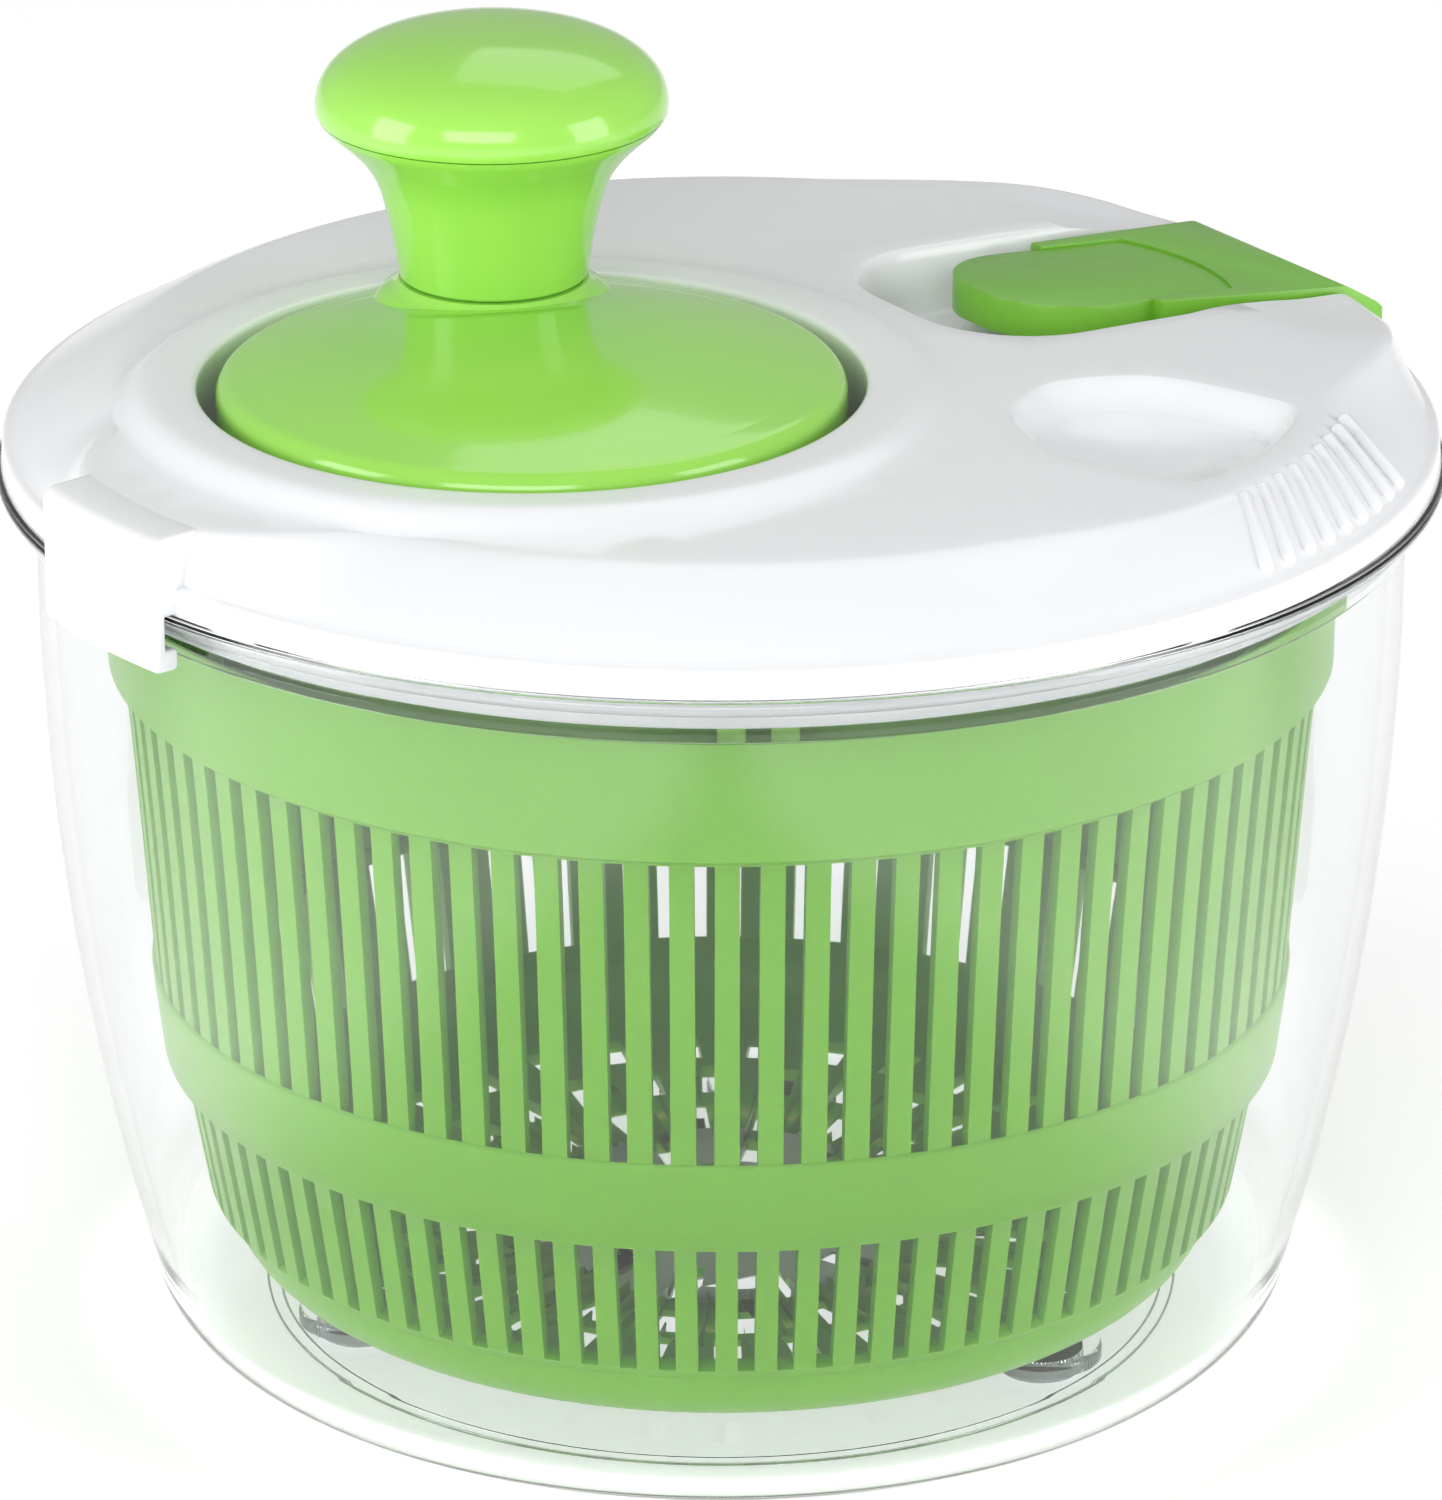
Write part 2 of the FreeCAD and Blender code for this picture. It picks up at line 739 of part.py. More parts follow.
def make_housing_screws():
    screws = []
    for angle, radius in housing_screw_places:
        x, y = polar(radius, angle)
        seat = housing_low + screw_sink
        screws.append(pan_screw(screw_r, screw_head_r, screw_head_h, seat, screw_grip + 1.0, x, y))
    return Part.makeCompound(screws)


# ---- Crank ----
def make_crank_disc():
    """Domed disc with the knob's collar on top and its journal underneath."""
    disc = turned(
        (0, disc_low),
        (disc_r - 1.0, disc_low),
        (disc_r, disc_low + 1.0),
        (disc_r, disc_edge_z - disc_round),
        corner_arc(disc_r - disc_round, disc_edge_z - disc_round, disc_round, 0, 90),
        dome_arc(disc_r - disc_round, disc_edge_z, disc_crown_z),
    )
    journal = rod(journal_r, journal_end, disc_low)
    disc = disc.fuse(journal)
    collar = rod(knob_seat_r, disc_low + 3.0, knob_seat_z - small_gap, knob_dx, knob_dy)
    disc = disc.fuse(collar)
    disc = disc.cut(rod(knob_pin_r, pin_seat_z, BIG, knob_dx, knob_dy))
    disc = disc.cut(rod(screw_r, 0, housing_low + 14.0))
    for angle in (0, 120, 240):
        x, y = polar(ring_screw_circle, angle + 60)
        disc = disc.cut(rod(ring_screw_r, 0, disc_low + ring_screw_grip, x, y))
    disc.translate(FreeCAD.Vector(crank_x, 0, 0))
    return disc.removeSplitter()


def make_ring_gear_screws():
    screws = []
    length = web_top - web_low + ring_screw_grip
    for angle in (0, 120, 240):
        x, y = polar(ring_screw_circle, angle + 60)
        screw = pan_screw(ring_screw_r, ring_screw_head_r, ring_screw_head_h, web_low, length, x, y)
        screw.translate(FreeCAD.Vector(crank_x, 0, 0))
        screws.append(screw)
    return Part.makeCompound(screws)


def make_crank_bush():
    inner = journal_r + running_gap
    return tube(inner + bush_wall, inner, housing_low, crank_bush_top, crank_x)


# ---- Knob ----
def make_knob_body():
    """Waisted hollow grip that turns on the knob pin."""
    seat = knob_seat_z
    part_z = seat + knob_part_h
    shell = turned(
        (0, seat),
        (knob_seat_r - 0.5, seat),
        (knob_seat_r, seat + 0.5),
        ((knob_seat_r + 1.0, seat + knob_waist_h * 0.55), (knob_waist_r, seat + knob_waist_h)),
        ((knob_waist_r + 2.6, seat + knob_waist_h + 5.2), (knob_max_r - 2.9, seat + knob_max_h - 4.7)),
        ((knob_max_r - 0.9, seat + knob_part_h - 0.9), (knob_max_r - 0.4, part_z)),
        (knob_max_r - 0.4 - knob_wall, part_z),
        (knob_waist_r - knob_wall, seat + knob_waist_h + 1.5),
        (knob_seat_r - knob_wall, seat + 3.0),
        (0, seat + 3.0),
    )
    sleeve = rod(knob_pin_r + running_gap + 2.2, seat, seat + knob_sleeve_h)
    shell = shell.fuse(sleeve).cut(rod(knob_pin_r + running_gap, seat - 1, seat + knob_sleeve_h + 1))
    shell.translate(FreeCAD.Vector(knob_x, knob_y, 0))
    return shell


def make_knob_cap():
    """Domed cap that closes the top of the grip."""
    seat = knob_seat_z
    part_z = seat + knob_part_h
    top = seat + knob_h
    side_z = part_z + 5.0
    spigot_r = knob_max_r - knob_wall - 3.0
    shoulder = (knob_max_r - 4.5, top - 2.9)
    bend = (knob_max_r - 1.45, (side_z + shoulder[1]) / 2 + 1.0)
    cap = turned(
        (0, part_z + 3.5),
        (spigot_r - knob_wall, part_z + 3.5),
        (spigot_r - knob_wall, part_z - 2.0),
        (spigot_r, part_z - 2.0),
        (spigot_r, part_z),
        (knob_max_r - 0.3, part_z),
        (knob_max_r, part_z + 1.6),
        (knob_max_r - 0.3, side_z),
        (bend, shoulder),
        dome_arc(shoulder[0], shoulder[1], top),
    )
    cap.translate(FreeCAD.Vector(knob_x, knob_y, 0))
    return cap


def make_knob_pin():
    pin = rod(knob_pin_r, pin_seat_z, knob_pin_top)
    pin = pin.cut(rod(screw_r, knob_pin_top - 8.0, BIG))
    pin.translate(FreeCAD.Vector(knob_x, knob_y, 0))
    return pin


def make_washer(outer, inner, low, x, y):
    return tube(outer, inner, low, low + washer_thick, x, y)


# ---- Rotor ----
def make_rotor():
    """Drive plate whose forks straddle the ribs inside the basket's rim."""
    plate = rod(rotor_r, rotor_low, rotor_top)
    plate = plate.fuse(rod(rotor_hub_r, rotor_foot, spindle_foot_z))
    plate = plate.fuse(tube(rotor_r - 12.0, rotor_r - 14.0, rotor_low - 3.0, rotor_low))
    step = 360.0 / drive_count
    for index in range(drive_count):
        x, y = polar(rotor_r * 0.55, step * (index + 0.5))
        plate = plate.cut(rod(rotor_window_r, 0, BIG, x, y))
    outer = basket_rim_r - basket_wall - small_gap
    near = drive_rib_w / 2 + small_gap
    fork_low = basket_top - drive_rib_drop - fork_l
    lug = block((outer - fork_thick, near, fork_low), (outer, near + fork_w, rotor_top))
    twin = block((outer - fork_thick, -near - fork_w, fork_low), (outer, -near, rotor_top))
    fork = lug.fuse(twin).common(rod(outer, 0, BIG))
    for index in range(drive_count):
        plate = plate.fuse(spun(fork, step * index))
    return plate.cut(rod(spindle_r, 0, BIG)).removeSplitter()


def make_rotor_spindle():
    shaft = rod(spindle_r, rotor_foot, gear_top)
    return shaft.cut(rod(screw_r, 0, rotor_low + 6.0))


def make_spindle_bush():
    inner = spindle_r + running_gap
    return tube(inner + bush_wall, inner, housing_low - spindle_boss_drop, housing_top)


# ---- Latch ----
def make_latch_lever():
    """Tongue, pivot block and hooked leg in one piece."""
    tip_z = crown_z - 0.9
    outer_z = tip_z - tongue_fall
    under = latch_floor_z + 0.8
    keel_z = tip_z - tongue_thick - tongue_keel
    block_x = rim_r - block_l
    root_x = latch_pin_x - 6.0
    side = side_prism(
        2 * BIG,
        (tongue_tip_x, tip_z),
        (grip_out_x - 9.0, outer_z),
        ((grip_out_x - 2.6, outer_z - 2.8), (grip_out_x, outer_z - 9.0)),
        (grip_out_x, grip_lip_low),
        (grip_lip_x, grip_lip_low),
        (grip_lip_x, grip_lip_top),
        (grip_face_x, grip_lip_top),
        (grip_face_x, under),
        (root_x, under),
        (root_x - 4.0, keel_z),
        (block_x - 6.0, keel_z),
        (tongue_tip_x, tip_z - tongue_thick),
    )
    half = tongue_w / 2
    root = block_x + 5.0
    tongue = plan_prism(((tongue_tip_x, -half, half - 0.01), (root, -half, 0),
                         (root, half, 0), (tongue_tip_x, half, half - 0.01)), 0, BIG)
    near = block_in_w / 2
    far = block_out_w / 2
    body = plan_prism(((block_x, -near, 1.5), (grip_out_x + 1.0, -far, 0),
                       (grip_out_x + 1.0, far, 0), (block_x, near, 1.5)), 0, BIG)
    lever = side.common(tongue.fuse(body)).common(rod(grip_out_x, 0, BIG))
    lever = lever.cut(block((grip_face_x - 4.0, -BIG, 0), (BIG, -hook_w / 2, under)))
    lever = lever.cut(block((grip_face_x - 4.0, hook_w / 2, 0), (BIG, BIG, under)))
    seat_r = spring_r + spring_wire_r + small_gap
    lever = lever.cut(rod(seat_r, 0, latch_floor_z + spring_h, spring_x))
    start = FreeCAD.Vector(latch_pin_x, -block_out_w, latch_pin_z)
    hole = Part.makeCylinder(latch_pin_r + running_gap, 2 * block_out_w, start, FreeCAD.Vector(0, 1, 0))
    return lever.cut(hole).removeSplitter()


def make_latch_pin():
    return Part.makeCylinder(latch_pin_r, 2 * pin_half, FreeCAD.Vector(latch_pin_x, -pin_half, latch_pin_z),
                             FreeCAD.Vector(0, 1, 0))


def make_latch_spring():
    """Compression coil between the pocket floor and the lever's underside."""
    low = latch_floor_z + spring_wire_r
    rise = spring_h - 2 * spring_wire_r
    points = []
    for step in range(12 * spring_turns + 1):
        x, y = polar(spring_r, 30.0 * step)
        points.append(FreeCAD.Vector(spring_x + x, y, low + rise * step / (12 * spring_turns)))
    path = Part.BSplineCurve()
    path.interpolate(points)
    section = Part.Wire(Part.Circle(points[0], points[1] - points[0], spring_wire_r).toShape())
    return Part.Wire(path.toShape()).makePipeShell([section], True, True)


# ---- Build every node ----
os.makedirs("parts", exist_ok=True)
save("bowl", make_bowl())
for number, foot_angle in enumerate(foot_angles, 1):
    save("foot_pad_" + str(number), make_foot(foot_angle))
save("basket", make_basket())
save("lid_shell", make_lid_shell())
save("gear_housing", make_gear_housing())
save("housing_screws", make_housing_screws())
save("crank_bush", make_crank_bush())
save("crank_disc", make_crank_disc())
save("ring_gear", make_ring_gear())
save("ring_gear_screws", make_ring_gear_screws())
crank_screw_seat = journal_end - washer_thick
save("crank_washer", make_washer(8.5, screw_r, crank_screw_seat, crank_x, 0))
save("crank_screw", pan_screw(screw_r, screw_head_r, screw_head_h, crank_screw_seat, 12.0, crank_x, 0))
save("knob_pin", make_knob_pin())
save("knob_body", make_knob_body())
save("knob_washer", make_washer(6.0, screw_r, knob_pin_top, knob_x, knob_y))
knob_screw_seat = knob_pin_top + washer_thick
knob_screw = pan_screw(screw_r, screw_head_r, screw_head_h, knob_screw_seat, 8.0, knob_x, knob_y, False)
save("knob_screw", knob_screw)
save("knob_cap", make_knob_cap())
save("pinion", make_pinion())
save("rotor_spindle", make_rotor_spindle())
save("spindle_bush", make_spindle_bush())
save("rotor", make_rotor())
save("rotor_washer", make_washer(6.5, screw_r, rotor_foot - washer_thick, 0, 0))
save("rotor_screw", pan_screw(screw_r, screw_head_r, screw_head_h, rotor_foot - washer_thick, 8.0, 0, 0))
save("latch_lever", make_latch_lever())
save("latch_pin", make_latch_pin())
save("latch_spring", make_latch_spring())
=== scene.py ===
import math
import bmesh
import bpy
from mathutils import Matrix, Vector
from mathutils.geometry import delaunay_2d_cdt


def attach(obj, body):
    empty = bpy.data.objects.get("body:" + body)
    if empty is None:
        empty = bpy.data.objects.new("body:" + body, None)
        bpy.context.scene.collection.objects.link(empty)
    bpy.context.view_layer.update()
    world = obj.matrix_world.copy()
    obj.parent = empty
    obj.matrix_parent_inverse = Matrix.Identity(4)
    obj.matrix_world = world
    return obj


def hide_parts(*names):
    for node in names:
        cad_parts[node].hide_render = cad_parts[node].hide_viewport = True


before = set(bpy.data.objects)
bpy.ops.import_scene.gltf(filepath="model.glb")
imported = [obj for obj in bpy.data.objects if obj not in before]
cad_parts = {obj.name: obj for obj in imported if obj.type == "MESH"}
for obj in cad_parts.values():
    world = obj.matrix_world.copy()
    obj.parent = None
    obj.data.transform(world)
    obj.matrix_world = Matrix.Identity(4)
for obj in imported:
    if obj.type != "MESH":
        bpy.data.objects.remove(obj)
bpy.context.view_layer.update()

# ---- Camera ----
# A long lens looks down at about 22 degrees over the whole spinner, with the latch to the right
# and away, and the lid's clip to the left and near.
scene = bpy.context.scene
scene.view_settings.view_transform = "Standard"
eye = Vector((-0.6170, -0.9394, 0.5371))
aim = Vector((0.0, 0.0, 0.0889))
camera_data = bpy.data.cameras.new("camera")
camera_data.sensor_width = 36.0
camera_data.lens = 187.85
camera = bpy.data.objects.new("camera", camera_data)
scene.collection.objects.link(camera)
camera.location = eye
camera.rotation_euler = (aim - eye).to_track_quat("-Z", "Y").to_euler()
scene.camera = camera

# ---- Studio ----
# A pale sweep in an even pale surround, with soft boxes on each side, in front, and above and behind.
# The sweep glows more under the bowl, and in front of it on both sides, which the clear wall mirrors
# as two soft veils.
sweep_half = 3.0
sweep_mesh = bpy.data.meshes.new("sweep")
sweep_mesh.from_pydata([(-sweep_half, -sweep_half, 0), (sweep_half, -sweep_half, 0),
                        (sweep_half, sweep_half, 0), (-sweep_half, sweep_half, 0)], [], [(0, 1, 2, 3)])
sweep = bpy.data.objects.new("sweep", sweep_mesh)
scene.collection.objects.link(sweep)
sweep_paper = bpy.data.materials.new("pale paper")
sweep_paper.use_nodes = True
paper_nodes = sweep_paper.node_tree.nodes
paper_links = sweep_paper.node_tree.links
paper_shader = paper_nodes["Principled BSDF"]
paper_shader.inputs["Base Color"].default_value = (0.9, 0.9, 0.9, 1.0)
paper_shader.inputs["Roughness"].default_value = 0.8
paper_shader.inputs["Emission Color"].default_value = (1.0, 1.0, 1.0, 1.0)
front_turn = math.atan2(eye.y, eye.x)
paper_glow = 0.30
under_bowl_glow = 0.42
veil_glow = 0.95
dark_half_width = 0.13


def paper_math(operation, *values):
    """Adds one step of arithmetic to the paper's material; values are numbers or earlier results."""
    made = paper_nodes.new("ShaderNodeMath")
    made.operation = operation
    for index, value in enumerate(values):
        if isinstance(value, bpy.types.NodeSocket):
            paper_links.new(value, made.inputs[index])
        else:
            made.inputs[index].default_value = value
    return made.outputs[0]


def paper_fade(value, start, end):
    """Soft step from 0 at start to 1 at end."""
    made = paper_nodes.new("ShaderNodeMapRange")
    made.interpolation_type = "SMOOTHSTEP"
    made.inputs["From Min"].default_value = start
    made.inputs["From Max"].default_value = end
    paper_links.new(value, made.inputs["Value"])
    return made.outputs["Result"]


paper_place = paper_nodes.new("ShaderNodeTexCoord")
paper_turned = paper_nodes.new("ShaderNodeVectorRotate")
paper_turned.rotation_type = "Z_AXIS"
paper_turned.inputs["Angle"].default_value = -front_turn
paper_links.new(paper_place.outputs["Object"], paper_turned.inputs["Vector"])
paper_parts = paper_nodes.new("ShaderNodeSeparateXYZ")
paper_links.new(paper_turned.outputs[0], paper_parts.inputs[0])
forward = paper_parts.outputs["X"]
aside = paper_math("ABSOLUTE", paper_parts.outputs["Y"])
dark_reach = paper_math("MULTIPLY", dark_half_width, paper_fade(forward, 0.46, 0.20))
beyond_dark = paper_fade(paper_math("SUBTRACT", aside, dark_reach), -0.015, 0.06)
in_front = paper_fade(forward, -0.06, 0.05)
near_by = paper_fade(paper_math("ADD", forward, aside), 0.95, 0.5)
veil = paper_math("MULTIPLY", paper_math("MULTIPLY", beyond_dark, in_front), near_by)
from_axis = paper_math("SQRT", paper_math("ADD", paper_math("POWER", forward, 2.0),
                                          paper_math("POWER", aside, 2.0)))
under_bowl = paper_fade(from_axis, 0.105, 0.085)
glow = paper_math("MULTIPLY_ADD", under_bowl, under_bowl_glow, paper_glow)
paper_links.new(paper_math("MULTIPLY_ADD", veil, veil_glow, glow), paper_shader.inputs["Emission Strength"])
sweep_mesh.materials.append(sweep_paper)

surround = bpy.data.worlds.new("surround")
scene.world = surround
surround.use_nodes = True
surround.node_tree.nodes["Background"].inputs["Color"].default_value = (1.0, 1.0, 1.0, 1.0)
surround.node_tree.nodes["Background"].inputs["Strength"].default_value = 0.5


def soft_box(name, azimuth, distance, height, width, tall, power):
    """Area lamp aimed at the spinner; azimuth counts from the camera's side, towards its right."""
    turn = front_turn + math.radians(azimuth)
    place = Vector((distance * math.cos(turn), distance * math.sin(turn), height))
    lamp_data = bpy.data.lights.new(name, "AREA")
    lamp_data.shape = "RECTANGLE"
    lamp_data.size = width
    lamp_data.size_y = tall
    lamp_data.energy = power
    lamp = bpy.data.objects.new(name, lamp_data)
    scene.collection.objects.link(lamp)
    lamp.location = place
    lamp.rotation_euler = (Vector((0, 0, 0.1)) - place).to_track_quat("-Z", "Y").to_euler()


soft_box("left box", -68, 1.3, 0.40, 0.6, 1.0, 8.0)
soft_box("right box", 68, 1.3, 0.40, 0.6, 1.0, 7.0)
soft_box("front box", -8, 1.5, 0.75, 1.3, 0.7, 13.0)
soft_box("top box", 165, 0.9, 1.3, 0.9, 0.9, 2.6)

# ---- Bowl ----
# Clear bowl of styrene-acrylonitrile, injection moulded in one piece: barrel-shaped wall, thick collar
# under a flat rim flange, standing ring, pivot post and three bosses that hold the feet.
# Sizes are in millimetres from here on, and MM makes them metres.
MM = 0.001
bowl_turns = 192


def rounded_line(corners, closed=False, steps=5):
    """Points along straight runs whose corners (a, b, radius) are rounded off."""
    line = []
    count = len(corners)
    for index, (a, b, radius) in enumerate(corners):
        here = Vector((a, b))
        if radius <= 0 or (not closed and index in (0, count - 1)):
            line.append((a, b))
            continue
        before = (Vector(corners[index - 1][:2]) - here)
        after = (Vector(corners[(index + 1) % count][:2]) - here)
        half = before.angle(after) / 2
        reach = min(radius / math.tan(half), before.length * 0.49, after.length * 0.49)
        radius = reach * math.tan(half)
        first = here + before.normalized() * reach
        last = here + after.normalized() * reach
        middle = here + (before.normalized() + after.normalized()).normalized() * (radius / math.sin(half))
        start = math.atan2(first.y - middle.y, first.x - middle.x)
        sweep_angle = math.atan2(last.y - middle.y, last.x - middle.x) - start
        sweep_angle = (sweep_angle + math.pi) % (2 * math.pi) - math.pi
        for step in range(steps + 1):
            turn = start + sweep_angle * step / steps
            line.append((middle.x + radius * math.cos(turn), middle.y + radius * math.sin(turn)))
    return line


def barrel_line(top, low, steps):
    """Points of the wall's arc, which is upright at top and passes through low (both r, z)."""
    bend = ((top[0] - low[0]) ** 2 + (top[1] - low[1]) ** 2) / (2 * (top[0] - low[0]))
    points = []
    for step in range(steps + 1):
        z = low[1] + (top[1] - low[1]) * step / steps
        points.append((top[0] - bend + math.sqrt(bend ** 2 - (top[1] - z) ** 2), z))
    return points


def turned_mesh(name, line, turns, centre=(0.0, 0.0), sharp=32.0):
    """Mesh of an (r, z) line in millimetres turned round an upright axis; both ends may lie on it."""
    shape = bmesh.new()
    rings = []
    for r, z in line:
        if r < 1e-6:
            rings.append([shape.verts.new((centre[0] * MM, centre[1] * MM, z * MM))])
            continue
        rings.append([shape.verts.new(((centre[0] + r * math.cos(2 * math.pi * k / turns)) * MM,
                                       (centre[1] + r * math.sin(2 * math.pi * k / turns)) * MM, z * MM))
                      for k in range(turns)])
    for low, high in zip(rings, rings[1:]):
        for k in range(turns):
            following = (k + 1) % turns
            corners = [low[k % len(low)], low[following % len(low)], high[following % len(high)],
                       high[k % len(high)]]
            corners = list(dict.fromkeys(corners))
            if len(corners) > 2:
                shape.faces.new(corners)
    if len(rings[0]) > 1 and line[0] == line[-1]:
        bmesh.ops.remove_doubles(shape, verts=shape.verts, dist=1e-7)
    return finished_mesh(name, shape, sharp)


def finished_mesh(name, shape, sharp=32.0):
    """Mesh with its faces outward, smooth but for edges sharper than the angle."""
    bmesh.ops.recalc_face_normals(shape, faces=shape.faces)
    mesh = bpy.data.meshes.new(name)
    shape.to_mesh(mesh)
    shape.free()
    mesh.shade_smooth()
    mesh.set_sharp_from_angle(angle=math.radians(sharp))
    return mesh


def placed(name, mesh, material=None):
    """Object of a mesh, at the origin."""
    piece = bpy.data.objects.new(name, mesh)
    scene.collection.objects.link(piece)
    if material:
        piece.data.materials.clear()
        piece.data.materials.append(material)
    return piece


def carve(piece, tools, operation, solver="EXACT"):
    """Joins or cuts whole pieces, and removes the tools."""
    for tool in tools:
        cut = piece.modifiers.new("carve", "BOOLEAN")
        cut.operation = operation
        cut.solver = solver
        cut.object = tool
    settle(piece)
    for tool in tools:
        bpy.data.objects.remove(tool)


def settle(piece, sharp=32.0):
    """Applies a piece's modifiers to its mesh."""
    bpy.context.view_layer.update()
    graph = bpy.context.evaluated_depsgraph_get()
    mesh = bpy.data.meshes.new_from_object(piece.evaluated_get(graph))
    piece.modifiers.clear()
    piece.data = mesh
    mesh.shade_smooth()
    mesh.set_sharp_from_angle(angle=math.radians(sharp))


rim_r = 110.0
rim_top = 139.5
flange_low = 137.3
mouth_r = 101.8
collar_r = 106.3
collar_low = 132.0
wall_r = 104.3
wall_straight_z = 121.0
heel_r = 89.8
heel_z = 11.0
heel_bend = 9.5
bowl_wall = 2.5
floor_low = 1.5
floor_top = 4.2
stand_r = 70.0
stand_low = 0.6
post_r = 4.0
post_top = 13.6
foot_r = 61.0
foot_angles = (50.0, 170.0, 290.0)
boss_r = 9.5
well_r = 6.5
bowl_line = [(0.0, floor_low)]
bowl_line += rounded_line([(stand_r - 0.4, floor_low, 0), (stand_r, floor_low, 0.2),
                           (stand_r, stand_low, 0.3),
                           (stand_r + 2.0, stand_low, 0.3), (stand_r + 2.0, floor_low, 0.2),
                           (stand_r + 2.4, floor_low, 0)])
for degrees in range(-90, 1, 9):
    bowl_line.append((heel_r - heel_bend + heel_bend * math.cos(math.radians(degrees)),
                      heel_z + heel_bend * math.sin(math.radians(degrees))))
bowl_line += barrel_line((wall_r, wall_straight_z), (heel_r, heel_z), 24)[1:]
bowl_line += rounded_line([(wall_r, collar_low - 0.8, 0), (wall_r, collar_low, 0.4),
                           (collar_r, collar_low, 0.7),
                           (collar_r, flange_low, 0.5), (rim_r, flange_low, 1.05), (rim_r, rim_top, 1.05),
                           (mouth_r, rim_top, 0.7), (mouth_r, rim_top - 2.5, 0)], steps=6)
bowl_line += list(reversed(barrel_line((mouth_r, wall_straight_z), (heel_r - bowl_wall, heel_z), 24)))
for degrees in range(-9, -91, -9):
    bowl_line.append((heel_r - heel_bend + (heel_bend - bowl_wall) * math.cos(math.radians(degrees)),
                      floor_top + (heel_bend - bowl_wall) * (1 + math.sin(math.radians(degrees)))))
bowl_line += rounded_line([(post_r + 3.6, floor_top, 0), (post_r + 2.0, floor_top, 1.2),
                           (post_r, floor_top + 2.0, 0.6),
                           (post_r, post_top, 1.5), (0.0, post_top, 0)])
bowl = placed("bowl_clear", turned_mesh("bowl", bowl_line, bowl_turns))
foot_places = [(foot_r * math.cos(math.radians(a)), foot_r * math.sin(math.radians(a))) for a in foot_angles]
boss_line = rounded_line([(0, 3.0, 0), (boss_r, 3.0, 0), (boss_r, 6.3, 0.8), (0, 6.3, 0)])
carve(bowl, [placed("boss", turned_mesh("boss", boss_line, 64, place)) for place in foot_places], "UNION")
well_line = [(0, -1.0), (well_r, -1.0), (well_r, 4.3), (0, 4.3)]
carve(bowl, [placed("well", turned_mesh("well", well_line, 64, place)) for place in foot_places],
      "DIFFERENCE")


def node(tree, kind, **values):
    """Shader or geometry node with its inputs set by name."""
    made = tree.nodes.new(kind)
    for name, value in values.items():
        made.inputs[name.replace("_", " ")].default_value = value
    return made


def moulded(name, colour, roughness, grain=900.0, lift=0.00001, patchy=0.03, scuffs=0.05):
    """Moulded plastic: slight unevenness of colour, faint handling marks in the gloss, fine surface ripple."""
    material = bpy.data.materials.new(name)
    material.use_nodes = True
    tree = material.node_tree
    shader = tree.nodes["Principled BSDF"]
    place = tree.nodes.new("ShaderNodeTexCoord")
    cloud = node(tree, "ShaderNodeTexNoise", Scale=38.0, Detail=4.0, Roughness=0.55)
    tree.links.new(place.outputs["Object"], cloud.inputs["Vector"])
    tint = tree.nodes.new("ShaderNodeMix")
    tint.data_type = "RGBA"
    tint.inputs[6].default_value = (*[c * (1 - patchy) for c in colour], 1.0)
    tint.inputs[7].default_value = (*[min(1.0, c * (1 + patchy)) for c in colour], 1.0)
    tree.links.new(cloud.outputs["Fac"], tint.inputs[0])
    tree.links.new(tint.outputs[2], shader.inputs["Base Color"])
    marks = node(tree, "ShaderNodeTexNoise", Scale=210.0, Detail=6.0, Roughness=0.65)
    tree.links.new(place.outputs["Object"], marks.inputs["Vector"])
    gloss = tree.nodes.new("ShaderNodeMapRange")
    gloss.inputs["From Min"].default_value = 0.35
    gloss.inputs["From Max"].default_value = 0.75
    gloss.inputs["To Min"].default_value = roughness
    gloss.inputs["To Max"].default_value = roughness + scuffs
    tree.links.new(marks.outputs["Fac"], gloss.inputs["Value"])
    tree.links.new(gloss.outputs["Result"], shader.inputs["Roughness"])
    ripple = node(tree, "ShaderNodeTexNoise", Scale=grain, Detail=2.0)
    tree.links.new(place.outputs["Object"], ripple.inputs["Vector"])
    bump = node(tree, "ShaderNodeBump", Strength=0.5, Distance=lift)
    tree.links.new(ripple.outputs["Fac"], bump.inputs["Height"])
    tree.links.new(bump.outputs["Normal"], shader.inputs["Normal"])
    return material, shader


clear_plastic, clear_shader = moulded("clear styrene", (0.945, 0.958, 0.958), 0.01, grain=60.0, lift=0.00001,
                                      patchy=0.004, scuffs=0.02)
clear_shader.inputs["Transmission Weight"].default_value = 1.0
clear_shader.inputs["IOR"].default_value = 1.45
bowl.data.materials.append(clear_plastic)
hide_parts("bowl")
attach(bowl, "bowl")

# ---- Feet ----
# Three grey pads of thermoplastic rubber, punched from moulded rod and pressed into the bosses under
# the bowl. Their skin is matt with a fine grain.
foot_rubber, foot_shader = moulded("grey rubber", (0.42, 0.46, 0.46), 0.55, grain=2600.0, lift=0.00008,
                                   patchy=0.08, scuffs=0.2)
for number in (1, 2, 3):
    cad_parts["foot_pad_%d" % number].material_slots[0].material = foot_rubber

